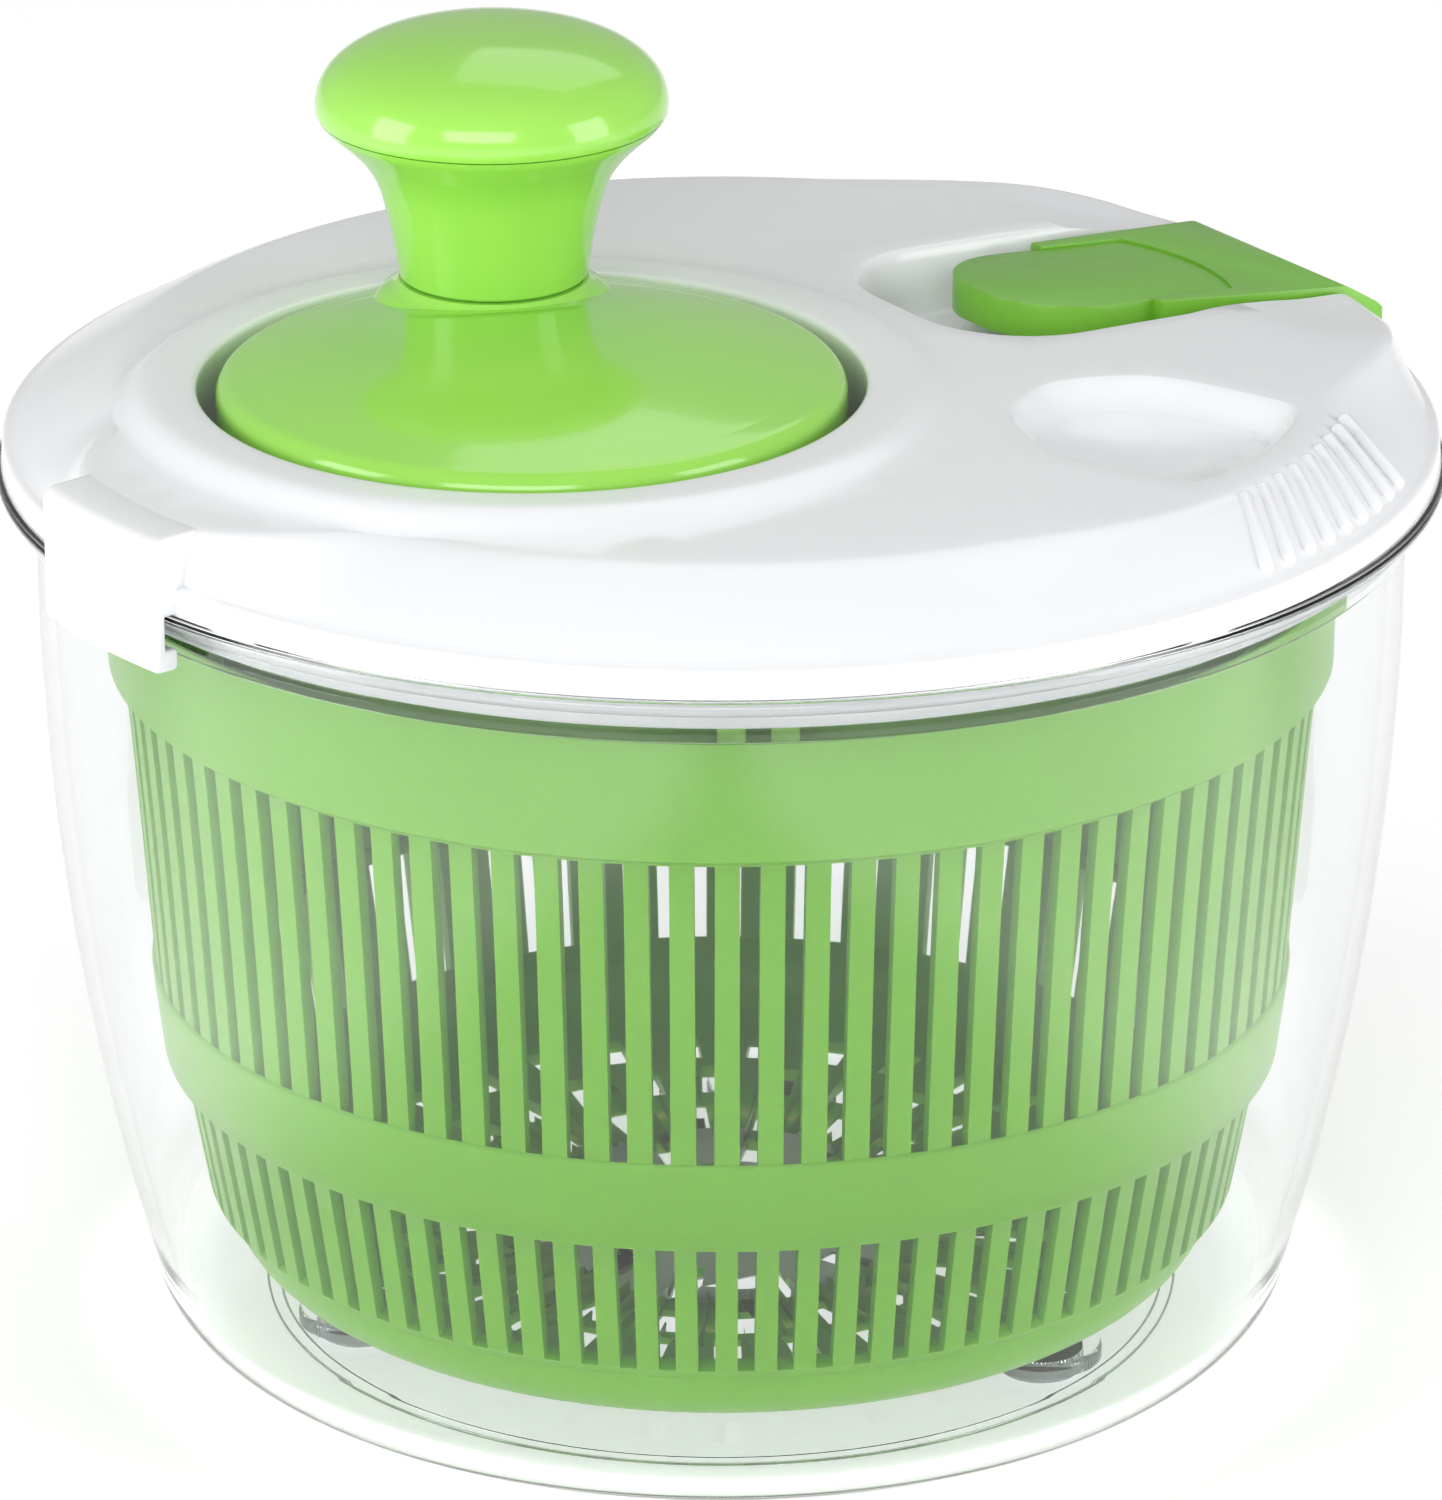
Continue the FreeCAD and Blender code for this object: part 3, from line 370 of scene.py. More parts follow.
# ---- Basket ----
# Green polypropylene basket, one moulding: bands and 88 tapered slats in two rows, a round pivot
# hub and rows of short slots in its floor, and six ribs inside the rim that the drive plate catches.
slat_count = 88
basket_wall = 2.05
floor_z = 9.5
floor_slot_rings = ((26.0, 12), (38.0, 20), (50.0, 28), (62.0, 32))
floor_slot_long = 8.5
floor_slot_wide = 4.2
wall_rows = [(78.0, 20.1), (79.4, 21.4), (81.0, 22.7), (82.9, 33.6), (84.7, 44.1), (85.4, 44.9), (86.9, 45.0),
             (87.3, 45.4),
             (87.8, 50.0), (88.4, 55.0), (88.75, 58.7), (88.6, 59.2), (88.3, 59.5), (88.6, 64.0),
             (89.4, 76.0), (90.2, 88.0),
             (91.0, 99.0), (91.7, 107.8), (92.2, 108.6), (93.5, 108.9), (94.0, 109.4), (94.0, 118.0),
             (94.0, 127.0), (93.9, 127.5), (93.5, 127.7)]
open_rows = {(22.7, 33.6): (2.50, 2.66), (33.6, 44.1): (2.66, 2.82), (59.5, 64.0): (2.61, 2.66),
             (64.0, 76.0): (2.66, 2.76),
             (76.0, 88.0): (2.76, 2.86), (88.0, 99.0): (2.86, 2.95), (99.0, 107.8): (2.95, 3.0)}
slot_edge = {22.7: 2.50, 33.6: 2.66, 44.1: 2.82, 59.5: 2.61, 64.0: 2.66, 76.0: 2.76, 88.0: 2.86, 99.0: 2.95,
             107.8: 3.0}
sector = bmesh.new()
step_turn = 2 * math.pi / slat_count
corner_rows = []
for degrees in range(-90, 1, 10):
    corner_rows.append((64.0 + 14.0 * math.cos(math.radians(degrees)),
                        floor_z + 10.6 * (1 + math.sin(math.radians(degrees)))))
rows = [(30.0, floor_z), (50.0, floor_z)] + corner_rows + wall_rows[1:]
grid = []
for r, z in rows:
    half_slot = slot_edge.get(z, 2.7) / 2 / r
    turns = (0.0, step_turn / 2 - half_slot, step_turn / 2 + half_slot, step_turn)
    grid.append([sector.verts.new((r * math.cos(t) * MM, r * math.sin(t) * MM, z * MM)) for t in turns])
for (low, low_row), (high, high_row) in zip(zip(grid, rows), zip(grid[1:], rows[1:])):
    for column in range(3):
        if column == 1 and (low_row[1], high_row[1]) in open_rows:
            continue
        sector.faces.new((low[column], low[column + 1], high[column + 1], high[column]))
sector_mesh = bpy.data.meshes.new("slat sector")
sector.to_mesh(sector_mesh)
sector.free()


def repeat_round(name, part, count, material, radius=0.0, turn=0.0, sweep=2 * math.pi):
    """Geometry Nodes: sets a part count times round the axis, realized, with its material set."""
    tree = bpy.data.node_groups.new(name, "GeometryNodeTree")
    tree.interface.new_socket("Geometry", in_out="INPUT", socket_type="NodeSocketGeometry")
    number = tree.interface.new_socket("Count", in_out="INPUT", socket_type="NodeSocketInt")
    reach = tree.interface.new_socket("Radius", in_out="INPUT", socket_type="NodeSocketFloat")
    start = tree.interface.new_socket("Start Turn", in_out="INPUT", socket_type="NodeSocketFloat")
    whole = tree.interface.new_socket("Whole Turn", in_out="INPUT", socket_type="NodeSocketFloat")
    tree.interface.new_socket("Geometry", in_out="OUTPUT", socket_type="NodeSocketGeometry")
    given = tree.nodes.new("NodeGroupInput")
    result = tree.nodes.new("NodeGroupOutput")
    points = tree.nodes.new("GeometryNodePoints")
    index = tree.nodes.new("GeometryNodeInputIndex")
    share = tree.nodes.new("ShaderNodeMath")
    share.operation = "DIVIDE"
    angle = tree.nodes.new("ShaderNodeMath")
    angle.operation = "MULTIPLY_ADD"
    tree.links.new(given.outputs["Count"], points.inputs["Count"])
    tree.links.new(index.outputs[0], share.inputs[0])
    tree.links.new(given.outputs["Count"], share.inputs[1])
    tree.links.new(share.outputs[0], angle.inputs[0])
    tree.links.new(given.outputs["Whole Turn"], angle.inputs[1])
    tree.links.new(given.outputs["Start Turn"], angle.inputs[2])
    turned_by = tree.nodes.new("ShaderNodeCombineXYZ")
    tree.links.new(angle.outputs[0], turned_by.inputs["Z"])
    away = tree.nodes.new("ShaderNodeCombineXYZ")
    tree.links.new(given.outputs["Radius"], away.inputs["X"])
    shift = tree.nodes.new("GeometryNodeTransform")
    tree.links.new(given.outputs["Geometry"], shift.inputs["Geometry"])
    tree.links.new(away.outputs[0], shift.inputs["Translation"])
    copies = tree.nodes.new("GeometryNodeInstanceOnPoints")
    tree.links.new(points.outputs[0], copies.inputs["Points"])
    tree.links.new(shift.outputs[0], copies.inputs["Instance"])
    tree.links.new(turned_by.outputs[0], copies.inputs["Rotation"])
    solid = tree.nodes.new("GeometryNodeRealizeInstances")
    tree.links.new(copies.outputs[0], solid.inputs[0])
    paint = tree.nodes.new("GeometryNodeSetMaterial")
    paint.inputs["Material"].default_value = material
    tree.links.new(solid.outputs[0], paint.inputs["Geometry"])
    tree.links.new(paint.outputs[0], result.inputs[0])
    piece = placed(name, part)
    modifier = piece.modifiers.new("round", "NODES")
    modifier.node_group = tree
    modifier[number.identifier] = count
    modifier[reach.identifier] = radius
    modifier[start.identifier] = turn
    modifier[whole.identifier] = sweep
    settle(piece)
    return piece


basket_plastic, basket_shader = moulded("green polypropylene", (0.21, 0.56, 0.028), 0.32, grain=1500.0,
                                        lift=0.00002, patchy=0.05, scuffs=0.12)
basket_shader.inputs["Subsurface Weight"].default_value = 0.35
basket_shader.inputs["Subsurface Radius"].default_value = (0.6, 1.0, 0.25)
basket_shader.inputs["Subsurface Scale"].default_value = 0.004
basket = repeat_round("basket", sector_mesh, slat_count, basket_plastic)
skin = bmesh.new()
skin.from_mesh(basket.data)
bmesh.ops.remove_doubles(skin, verts=skin.verts, dist=2e-6)
inner_ring = sorted([v for v in skin.verts if abs(v.co.to_2d().length - 0.030) < 1e-5],
                    key=lambda v: math.atan2(v.co.y, v.co.x))
skin.faces.new(inner_ring)
bmesh.ops.recalc_face_normals(skin, faces=skin.faces)
if sum(f.normal.z * f.calc_area() for f in skin.faces if f.calc_center_median().z < 0.0096) > 0:
    bmesh.ops.reverse_faces(skin, faces=skin.faces)
skin.to_mesh(basket.data)
skin.free()
thick = basket.modifiers.new("wall", "SOLIDIFY")
thick.thickness = basket_wall * MM
thick.offset = -1.0
thick.use_even_offset = True
settle(basket)
floor_slot = bmesh.new()
bmesh.ops.create_cube(floor_slot, size=1.0, matrix=Matrix.Translation((0, 0, (floor_z + 1.0) * MM))
                      @ Matrix.Diagonal((floor_slot_long * MM, floor_slot_wide * MM, 0.008, 1)))
slot_mesh = bpy.data.meshes.new("floor slot")
floor_slot.to_mesh(slot_mesh)
floor_slot.free()
punches = [repeat_round("floor slots", slot_mesh.copy(), count, basket_plastic, radius * MM, math.pi / count)
           for radius, count in floor_slot_rings]
carve(basket, punches, "DIFFERENCE", solver="MANIFOLD")
edge_break = basket.modifiers.new("edges", "BEVEL")
edge_break.width = 0.3 * MM
edge_break.segments = 1
edge_break.limit_method = "ANGLE"
edge_break.angle_limit = math.radians(55)
settle(basket, sharp=40)
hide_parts("basket")
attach(basket, "basket")

hub_line = rounded_line([(8.0, 9.0, 0), (8.0, 16.0, 1.2), (0, 16.0, 0)])
hub = placed("basket_hub", turned_mesh("basket_hub", [(0, 13.66), (4.08, 13.66), (4.08, 8.62), (8.0, 8.62)]
                                       + hub_line, 64), basket_plastic)
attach(hub, "basket")
rib = bmesh.new()
bmesh.ops.create_cube(rib, size=1.0,
                      matrix=Matrix.Translation((0.0905, 0, 0.1203)) @ Matrix.Diagonal((0.0033, 0.003, 0.013,
                              1)))
bmesh.ops.bevel(rib, geom=rib.edges[:], offset=0.0004, segments=2, affect="EDGES")
rib_mesh = bpy.data.meshes.new("drive rib")
rib.to_mesh(rib_mesh)
rib.free()
drive_ribs = repeat_round("basket_ribs", rib_mesh, 6, basket_plastic)
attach(drive_ribs, "basket")

# ---- Lid ----
# White ABS lid, one thin-walled moulding with a high gloss: a domed plateau with a well for the crank,
# a finger recess under the latch, a thumb dish and grip ribs, a sloping shoulder and a rolled edge.
lid_columns = 300
pocket_half = 21.3
dome_top = 155.6
dome_fall = 2.6


def ease(value):
    value = max(0.0, min(1.0, value))
    return value * value * (3 - 2 * value)


def turn_between(a, b):
    return abs((a - b + 180.0) % 360.0 - 180.0)


def crease_radius(degrees):
    """The plateau bulges out at the latch (0 degrees) and at the clip (183 degrees)."""
    latch = 13.5 * ease(1.25 * (1 - turn_between(degrees, 0.0) / 38.0))
    clip = 15.0 * ease(1.25 * (1 - turn_between(degrees, 183.2) / 26.0))
    dish = 3.8 * ease(1.3 * (1 - turn_between(degrees, -60.5) / 32.0))
    return 92.0 + latch + clip + dish


def dome_height(x, y):
    """The plateau is a low dome that dips a little beside the latch block."""
    dip = 1.7 * ease((x - 74.0) / 22.0) * ease((52.0 - abs(y)) / 26.0)
    return dome_top - dome_fall * (math.hypot(x, y) / 91.0) ** 2 - dip


lid = bmesh.new()


def lid_point(x, y, z):
    return lid.verts.new((x * MM, y * MM, z * MM))


def bridge(first, second, closed=True):
    """Faces between two rows of corners."""
    count = len(first)
    for k in range(count if closed else count - 1):
        lid.faces.new((first[k], first[(k + 1) % count], second[(k + 1) % count], second[k]))


# Shoulder and rolled edge: rows of points from the crease out to the rim, open at the latch pocket.
shoulder_rows = [("in", 2.6), ("in", 1.7), ("in", 0.8), ("slope", 0.03), ("slope", 0.10), ("slope", 0.22),
                 ("slope", 0.45), ("slope", 0.7),
                 ("slope", 0.9), ("slope", 1.0), ("edge", 107.9, 144.05), ("edge", 108.5, 143.85),
                 ("edge", 108.9, 143.4),
                 ("edge", 109.0, 142.6), ("edge", 109.0, 141.0), ("edge", 109.0, 139.9),
                 ("edge", 108.7, 139.62)]
shoulder = []
for row in shoulder_rows:
    line = []
    for k in range(lid_columns + 1):
        guess = 360.0 * k / lid_columns
        crease = crease_radius(guess)
        if row[0] == "in":
            r = crease - row[1]
        elif row[0] == "slope":
            r = crease + (107.5 - crease) * row[1]
        else:
            r = row[1]
        mouth = math.degrees(math.asin(pocket_half / r))
        turn = math.radians(mouth + (360.0 - 2 * mouth) * k / lid_columns)
        if row[0] == "in":
            z = dome_height(r * math.cos(turn), r * math.sin(turn)) - {2.6: 0.0, 1.7: 0.05, 0.8: 0.17}[row[1]]
        elif row[0] == "slope":
            top_z = dome_height(crease * math.cos(turn), crease * math.sin(turn)) - 0.42
            z = top_z + (144.35 - top_z) * row[1] ** 1.12
            if row[1] == 1.0:
                z = 144.2
        else:
            z = row[2]
        line.append(lid_point(r * math.cos(turn), r * math.sin(turn), z))
    shoulder.append(line)
for first, second in zip(shoulder, shoulder[1:]):
    bridge(first, second, closed=False)

# Raised ring and well for the crank.
well_x = -33.75
well_turns = 180
ring_top = 156.2
ring_line = [(62.5, None), (61.0, 0.25), (59.6, 0.62), (58.2, 0.88), (56.8, 0.98), (55.0, 1.0), (52.4, 1.0),
             (51.2, 0.97), (50.5, 0.85),
             (50.1, 0.55), (50.0, 0.2)]
rings = []
for r, share in ring_line:
    line = []
    for k in range(well_turns):
        turn = 2 * math.pi * k / well_turns
        x, y = well_x + r * math.cos(turn), r * math.sin(turn)
        base = dome_height(x, y)
        if share is None:
            z = base
        elif r > 50.2:
            z = base + (ring_top - base) * share if r > 52 else ring_top - 1.2 * (1 - share)
        else:
            z = ring_top - 1.2 * (1 - share)
        line.append(lid_point(x, y, z))
    rings.append(line)
for z in (153.5, 148.0, 141.9):
    turns = [2 * math.pi * k / well_turns for k in range(well_turns)]
    rings.append([lid_point(well_x + 50.0 * math.cos(turn), 50.0 * math.sin(turn), z) for turn in turns])
for first, second in zip(rings, rings[1:]):
    bridge(first, second)


def spaced(line, gap, closed=True):
    """The same outline with points at even gaps."""
    run = [Vector(p) for p in line]
    if closed:
        run.append(run[0])
    lengths = [0.0]
    for a, b in zip(run, run[1:]):
        lengths.append(lengths[-1] + (b - a).length)
    count = max(8, round(lengths[-1] / gap))
    points = []
    segment = 0
    for k in range(count if closed else count + 1):
        distance = lengths[-1] * k / count
        while segment < len(run) - 2 and lengths[segment + 1] < distance:
            segment += 1
        span = lengths[segment + 1] - lengths[segment]
        share = 0.0 if span == 0 else (distance - lengths[segment]) / span
        points.append(run[segment].lerp(run[segment + 1], share))
    return points


def inward(points, closed=True):
    """Unit directions into a counter-clockwise outline."""
    count = len(points)
    ways = []
    for k in range(count):
        if closed:
            along = points[(k + 1) % count] - points[k - 1]
        else:
            along = points[min(k + 1, count - 1)] - points[max(k - 1, 0)]
        ways.append(Vector((-along.y, along.x)).normalized())
    return ways


# Thumb dish: a scoop with a soft lip, round at its inner end and following the crease at its outer end.
dish_turn = math.radians(-60.5)
dish_corners = [(50.2, -8.0, 9.5), (62.5, -20.3, 15.0), (88.4, -19.8, 5.5), (91.6, 0.0, 90.0),
                (88.4, 19.8, 5.5), (62.5, 20.3, 15.0),
                (50.2, 8.0, 9.5)]
dish_outline = spaced(rounded_line(dish_corners, closed=True, steps=8), 1.5)
for again in range(5):
    dish_outline = [(dish_outline[k - 1] + 2 * dish_outline[k]
                     + dish_outline[(k + 1) % len(dish_outline)]) / 4
                    for k in range(len(dish_outline))]
dish_outline = [Vector((u * math.cos(dish_turn) - w * math.sin(dish_turn), u * math.sin(dish_turn)
                        + w * math.cos(dish_turn)))
                for u, w in dish_outline]
dish_ways = inward(dish_outline)
dish_rows = []
for offset, depth in ((0.0, 0.0), (0.4, 0.05), (0.8, 0.22), (1.25, 0.62), (1.75, 1.3), (2.35, 2.2),
                      (3.05, 3.15), (3.8, 3.95), (4.6, 4.6)):
    line = []
    for point, way in zip(dish_outline, dish_ways):
        place = point + way * offset
        line.append(lid_point(place.x, place.y, dome_height(point.x, point.y) - depth))
    dish_rows.append(line)
for first, second in zip(dish_rows, dish_rows[1:]):
    bridge(first, second)


def fill_flat(loops, filler, height, keep):
    """Fills the plan region between loops of existing corners; filler points get their height from a rule."""
    corners = [Vector((v.co.x, v.co.y)) / MM for loop in loops for v in loop]
    edges = []
    start = 0
    for loop in loops:
        for k in range(len(loop)):
            edges.append((start + k, start + (k + 1) % len(loop)))
        start += len(loop)
    known = [v for loop in loops for v in loop]
    result = delaunay_2d_cdt(corners + filler, edges, [], 0, 1e-5)
    made = []
    for place, sources in zip(result[0], result[3]):
        old = [s for s in sources if s < len(known)]
        made.append(known[old[0]] if old else lid_point(place.x, place.y, height(place.x, place.y)))
    for face in result[2]:
        middle = sum((Vector(result[0][i]) for i in face), Vector((0.0, 0.0))) / len(face)
        corners_3d = [made[i] for i in face]
        if keep(middle) and len(set(corners_3d)) == len(corners_3d):
            if lid.faces.get(corners_3d) is None:
                lid.faces.new(corners_3d)


def inside(point, outline):
    """Whether a plan point lies within an outline."""
    within = False
    count = len(outline)
    for k in range(count):
        a, b = outline[k], outline[(k + 1) % count]
        if (a.y > point.y) != (b.y > point.y):
            if point.x < (b.x - a.x) * (point.y - a.y) / (b.y - a.y) + a.x:
                within = not within
    return within


def flat_loop(verts):
    return [Vector((v.co.x, v.co.y)) / MM for v in verts]


def hexagons(gap, half):
    """Evenly scattered plan points over a square."""
    points = []
    rows_of = int(2 * half / (gap * 0.866)) + 1
    for row in range(rows_of):
        y = -half + row * gap * 0.866
        for column in range(int(2 * half / gap) + 1):
            points.append(Vector((-half + (column + 0.5 * (row % 2)) * gap, y)))
    return points


def clear_of(point, loops, gap):
    """Whether a plan point keeps its distance from the corners of every loop."""
    return all((point - other).length > gap for loop in loops for other in loop)


dish_bottom = flat_loop(dish_rows[-1])
dish_filler = [p for p in hexagons(4.0, 100.0) if inside(p, dish_bottom) and clear_of(p, [dish_bottom], 1.8)]


def dish_depth(x, y):
    """The scoop's bottom goes on down from its wall, and levels out."""
    near = min((Vector((x, y)) - edge).length for edge in dish_bottom)
    wall_foot = sum(v.co.z for v in dish_rows[-1]) / len(dish_rows[-1]) / MM
    return wall_foot - 1.6 * ease(near / 15.0 + 0.12)


fill_flat([dish_rows[-1]], dish_filler, dish_depth, lambda p: inside(p, dish_bottom))

# Finger recess and latch pocket: a D-shaped hollow with a coved wall that narrows to the upright
# cheeks of the pocket, open at the rim.
recess_corners = [(104.0, pocket_half, 0), (88.5, pocket_half, 6.0), (70.0, 24.5, 14.0), (32.0, 24.5, 18.5),
                  (32.0, -24.5, 18.5),
                  (70.0, -24.5, 14.0), (88.5, -pocket_half, 6.0), (104.0, -pocket_half, 0)]
recess_corners[0] = (shoulder[0][0].co.x / MM, pocket_half, 0)
recess_corners[-1] = (shoulder[0][-1].co.x / MM, -pocket_half, 0)
recess_outline = spaced(rounded_line(recess_corners, steps=10), 1.6, closed=False)
recess_ways = inward(recess_outline, closed=False)
recess_rows = []
for offset, depth in ((0.0, 0.0), (0.3, 0.08), (0.65, 0.35), (0.95, 0.9), (1.25, 2.0), (1.7, 3.8), (2.3, 5.6),
                      (3.2, 7.2), (4.4, 8.2), (6.0, 8.8)):
    line = []
    for point, way in zip(recess_outline, recess_ways):
        cove = 1 - ease((point.x - 70.0) / 16.0)
        place = point + way * (offset * cove)
        top_z = dome_height(point.x, point.y)
        floor_depth = (top_z - 144.35) * cove + (top_z - 143.0) * (1 - cove)
        line.append(lid_point(place.x, place.y, top_z - floor_depth * depth / 8.8))
    recess_rows.append(line)
recess_rows[0][0].co = shoulder[0][0].co
recess_rows[0][-1].co = shoulder[0][-1].co
for first, second in zip(recess_rows, recess_rows[1:]):
    bridge(first, second, closed=False)
# Cheeks of the pocket under the shoulder, its floor, and the rim's face below its mouth.
pocket_sides = []
for end in (0, -1):
    upper = [row[end] for row in shoulder[:13]]
    lower = [recess_rows[-1][end]] + [lid_point(v.co.x / MM, v.co.y / MM, 143.0) for v in upper[1:]]
    for a, b, c, d in zip(upper, upper[1:], lower[1:], lower):
        lid.faces.new((a, b, c, d))
    pocket_sides.append(lower)
mouth_columns = 20
mouth_turn = math.asin(pocket_half / 108.9)
mouth_rows = []
for row, (r, z) in zip([None] + shoulder[13:], ((108.9, 143.0), (109.0, 142.6), (109.0, 141.0),
                                                (109.0, 139.9), (108.7, 139.62))):
    line = [pocket_sides[1][-1] if row is None else row[-1]]
    for k in range(1, mouth_columns):
        turn = mouth_turn * (2 * k / mouth_columns - 1)
        line.append(lid_point(r * math.cos(turn), r * math.sin(turn), z))
    line.append(pocket_sides[0][-1] if row is None else row[0])
    mouth_rows.append(line)
for first, second in zip(mouth_rows, mouth_rows[1:]):
    bridge(first, second, closed=False)
lid.faces.new((shoulder[12][0], shoulder[13][0], pocket_sides[0][-1]))
lid.faces.new((shoulder[12][-1], shoulder[13][-1], pocket_sides[1][-1]))
floor_loop = recess_rows[-1] + pocket_sides[1][1:] + mouth_rows[0][1:-1] + list(reversed(pocket_sides[0][1:]))
floor_plan = flat_loop(floor_loop)
floor_filler = [p for p in hexagons(5.0, 110.0) if inside(p, floor_plan) and clear_of(p, [floor_plan], 2.0)]
fill_flat([floor_loop], floor_filler, lambda x, y: 144.3 - 1.3 * ease((x - 70.0) / 16.0),
          lambda p: inside(p, floor_plan))

plateau_loop = shoulder[0] + list(reversed(recess_rows[0]))[1:-1]
plateau_plan = flat_loop(plateau_loop)
ring_plan = flat_loop(rings[0])
dish_plan = flat_loop(dish_rows[0])
plateau_filler = [p for p in hexagons(5.0, 110.0) if inside(p, plateau_plan) and not inside(p, ring_plan)
                  and not inside(p, dish_plan)
                  and clear_of(p, [plateau_plan, ring_plan, dish_plan], 2.4)]
fill_flat([plateau_loop, rings[0], dish_rows[0]], plateau_filler, dome_height,
          lambda p: inside(p, plateau_plan) and not inside(p, ring_plan) and not inside(p, dish_plan))
bmesh.ops.remove_doubles(lid, verts=lid.verts, dist=1e-6)
bmesh.ops.recalc_face_normals(lid, faces=lid.faces)
if sum(f.normal.z * f.calc_area() for f in lid.faces) < 0:
    bmesh.ops.reverse_faces(lid, faces=lid.faces)
lid_mesh = bpy.data.meshes.new("lid_top")
lid.to_mesh(lid_mesh)
lid.free()
white_plastic, white_shader = moulded("white gloss plastic", (0.80, 0.81, 0.825), 0.16, grain=1300.0,
                                      lift=0.000008, patchy=0.006, scuffs=0.08)
white_shader.inputs["Subsurface Weight"].default_value = 0.12
white_shader.inputs["Subsurface Radius"].default_value = (1.0, 1.0, 1.0)
white_shader.inputs["Subsurface Scale"].default_value = 0.0015
lid_top = placed("lid_top", lid_mesh, white_plastic)
lid_wall = lid_top.modifiers.new("wall", "SOLIDIFY")
lid_wall.thickness = 1.9 * MM
lid_wall.offset = -1.0
settle(lid_top, sharp=50)
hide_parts("lid_shell")
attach(lid_top, "lid")

# Locating skirt under the lid: a plain ring inside the bowl's mouth.
skirt_line = rounded_line([(99.3, 133.0, 0.6), (101.25, 133.0, 0.6), (101.25, 141.0, 0.3),
                           (99.3, 141.0, 0.3)], closed=True, steps=3)
skirt = placed("lid_skirt", turned_mesh("lid_skirt", skirt_line + skirt_line[:1], 160), white_plastic)
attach(skirt, "lid")


def closed_strip(name, sections, sharp=32.0):
    """Solid through sections of the same count of corners, with both ends closed."""
    shape = bmesh.new()
    rings_of = [[shape.verts.new(Vector(corner) * MM) for corner in section] for section in sections]
    for first, second in zip(rings_of, rings_of[1:]):
        for k in range(len(first)):
            following = (k + 1) % len(first)
            shape.faces.new((first[k], first[following], second[following], second[k]))
    shape.faces.new(rings_of[0])
    shape.faces.new(rings_of[-1])
    return finished_mesh(name, shape, sharp)


# Fixed clip: a curved leg over the rim flange with a lip under it.
clip_section = rounded_line([(104.5, 140.0, 0), (110.7, 140.0, 0), (110.7, 134.8, 0.4), (108.7, 134.8, 0.5),
                             (108.7, 131.6, 0.8), (112.7, 131.6, 1.0),
                             (112.7, 151.75, 2.2), (104.5, 152.15, 0)], closed=True, steps=4)
clip_half = 14.7
clip_turn = math.radians(183.2)
clip_steps = 24
clip_sections = []
for step in range(clip_steps + 1):
    across = clip_half * (2 * step / clip_steps - 1)
    section = []
    for r, z in clip_section:
        turn = clip_turn + math.asin(across / r)
        section.append((r * math.cos(turn), r * math.sin(turn), z))
    clip_sections.append(section)
clip = placed("lid_clip", closed_strip("lid_clip", clip_sections), white_plastic)
clip_edges = clip.modifiers.new("edges", "BEVEL")
clip_edges.width = 0.9 * MM
clip_edges.segments = 3
clip_edges.limit_method = "ANGLE"
clip_edges.angle_limit = math.radians(60)
settle(clip)
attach(clip, "lid")

# Grip ribs: nine rounded bars on the shoulder, next to the dish.
rib_shape = bmesh.new()
rib_high = Vector((96.2, 3.4, 151.75))
rib_low = Vector((105.9, -4.2, 145.65))
rib_half_wide = 1.2
rib_count = 9
rib_pitch = 2.85
rib_length = (rib_high - rib_low).length
bmesh.ops.create_uvsphere(rib_shape, u_segments=14, v_segments=10, radius=rib_half_wide * MM)
for vert in rib_shape.verts:
    if abs(vert.co.z) > 1e-7:
        vert.co.z += math.copysign(rib_length / 2, vert.co.z) * MM
rib_way = (rib_high - rib_low).normalized().to_track_quat("Z", "Y").to_matrix().to_4x4()
bmesh.ops.transform(rib_shape, matrix=Matrix.Translation((rib_high + rib_low) / 2 * MM) @ rib_way,
                    verts=rib_shape.verts)
grip_rib = finished_mesh("grip rib", rib_shape)
grip_ribs = repeat_round("lid_grip_ribs", grip_rib, rib_count, white_plastic, 0.0, math.radians(-73.5),
                         math.radians(rib_count * rib_pitch))
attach(grip_ribs, "lid")

# ---- Gear housing and its fasteners ----
# White inner cover, screwed up under the lid with six steel screws; it carries two acetal bushes.
# None of it shows unless the lid is lifted, but each piece has its own finish.
acetal, acetal_shader = moulded("acetal", (0.66, 0.66, 0.62), 0.32, grain=1800.0, lift=0.00002, patchy=0.04,
                                scuffs=0.15)
steel, steel_shader = moulded("bright steel", (0.56, 0.56, 0.57), 0.22, grain=3500.0, lift=0.00001,
                              patchy=0.06, scuffs=0.25)
steel_shader.inputs["Metallic"].default_value = 1.0


def finish_nodes(material, *names):
    for name in names:
        for part_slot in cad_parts[name].material_slots:
            part_slot.material = material


finish_nodes(white_plastic, "gear_housing")
finish_nodes(steel, "housing_screws")
finish_nodes(acetal, "crank_bush", "spindle_bush")

# ---- Crank disc ----
# Green ABS disc, moulded with a high polish: low dome, rolled edge, and a collar that the knob
# stands on. Its journal turns in the housing's bush.
green_plastic, green_shader = moulded("green gloss plastic", (0.31, 0.68, 0.09), 0.13, grain=1100.0,
                                      lift=0.000008, patchy=0.015, scuffs=0.05)
green_shader.inputs["Coat Weight"].default_value = 0.3
green_shader.inputs["Coat Roughness"].default_value = 0.04
knob_place = (-22.489, 28.883)
disc_low = 149.8
disc_r = 47.2
dome_r = 41.0
dome_low = 158.1
dome_rise = 4.2
disc_line = [(0.0, disc_low)] + rounded_line([(disc_r - 3.2, disc_low, 0), (disc_r, disc_low, 0.8),
                                              (disc_r, 156.9, 3.0),
                                              (dome_r + 1.0, 157.85, 2.0), (dome_r, dome_low, 0)], steps=8)
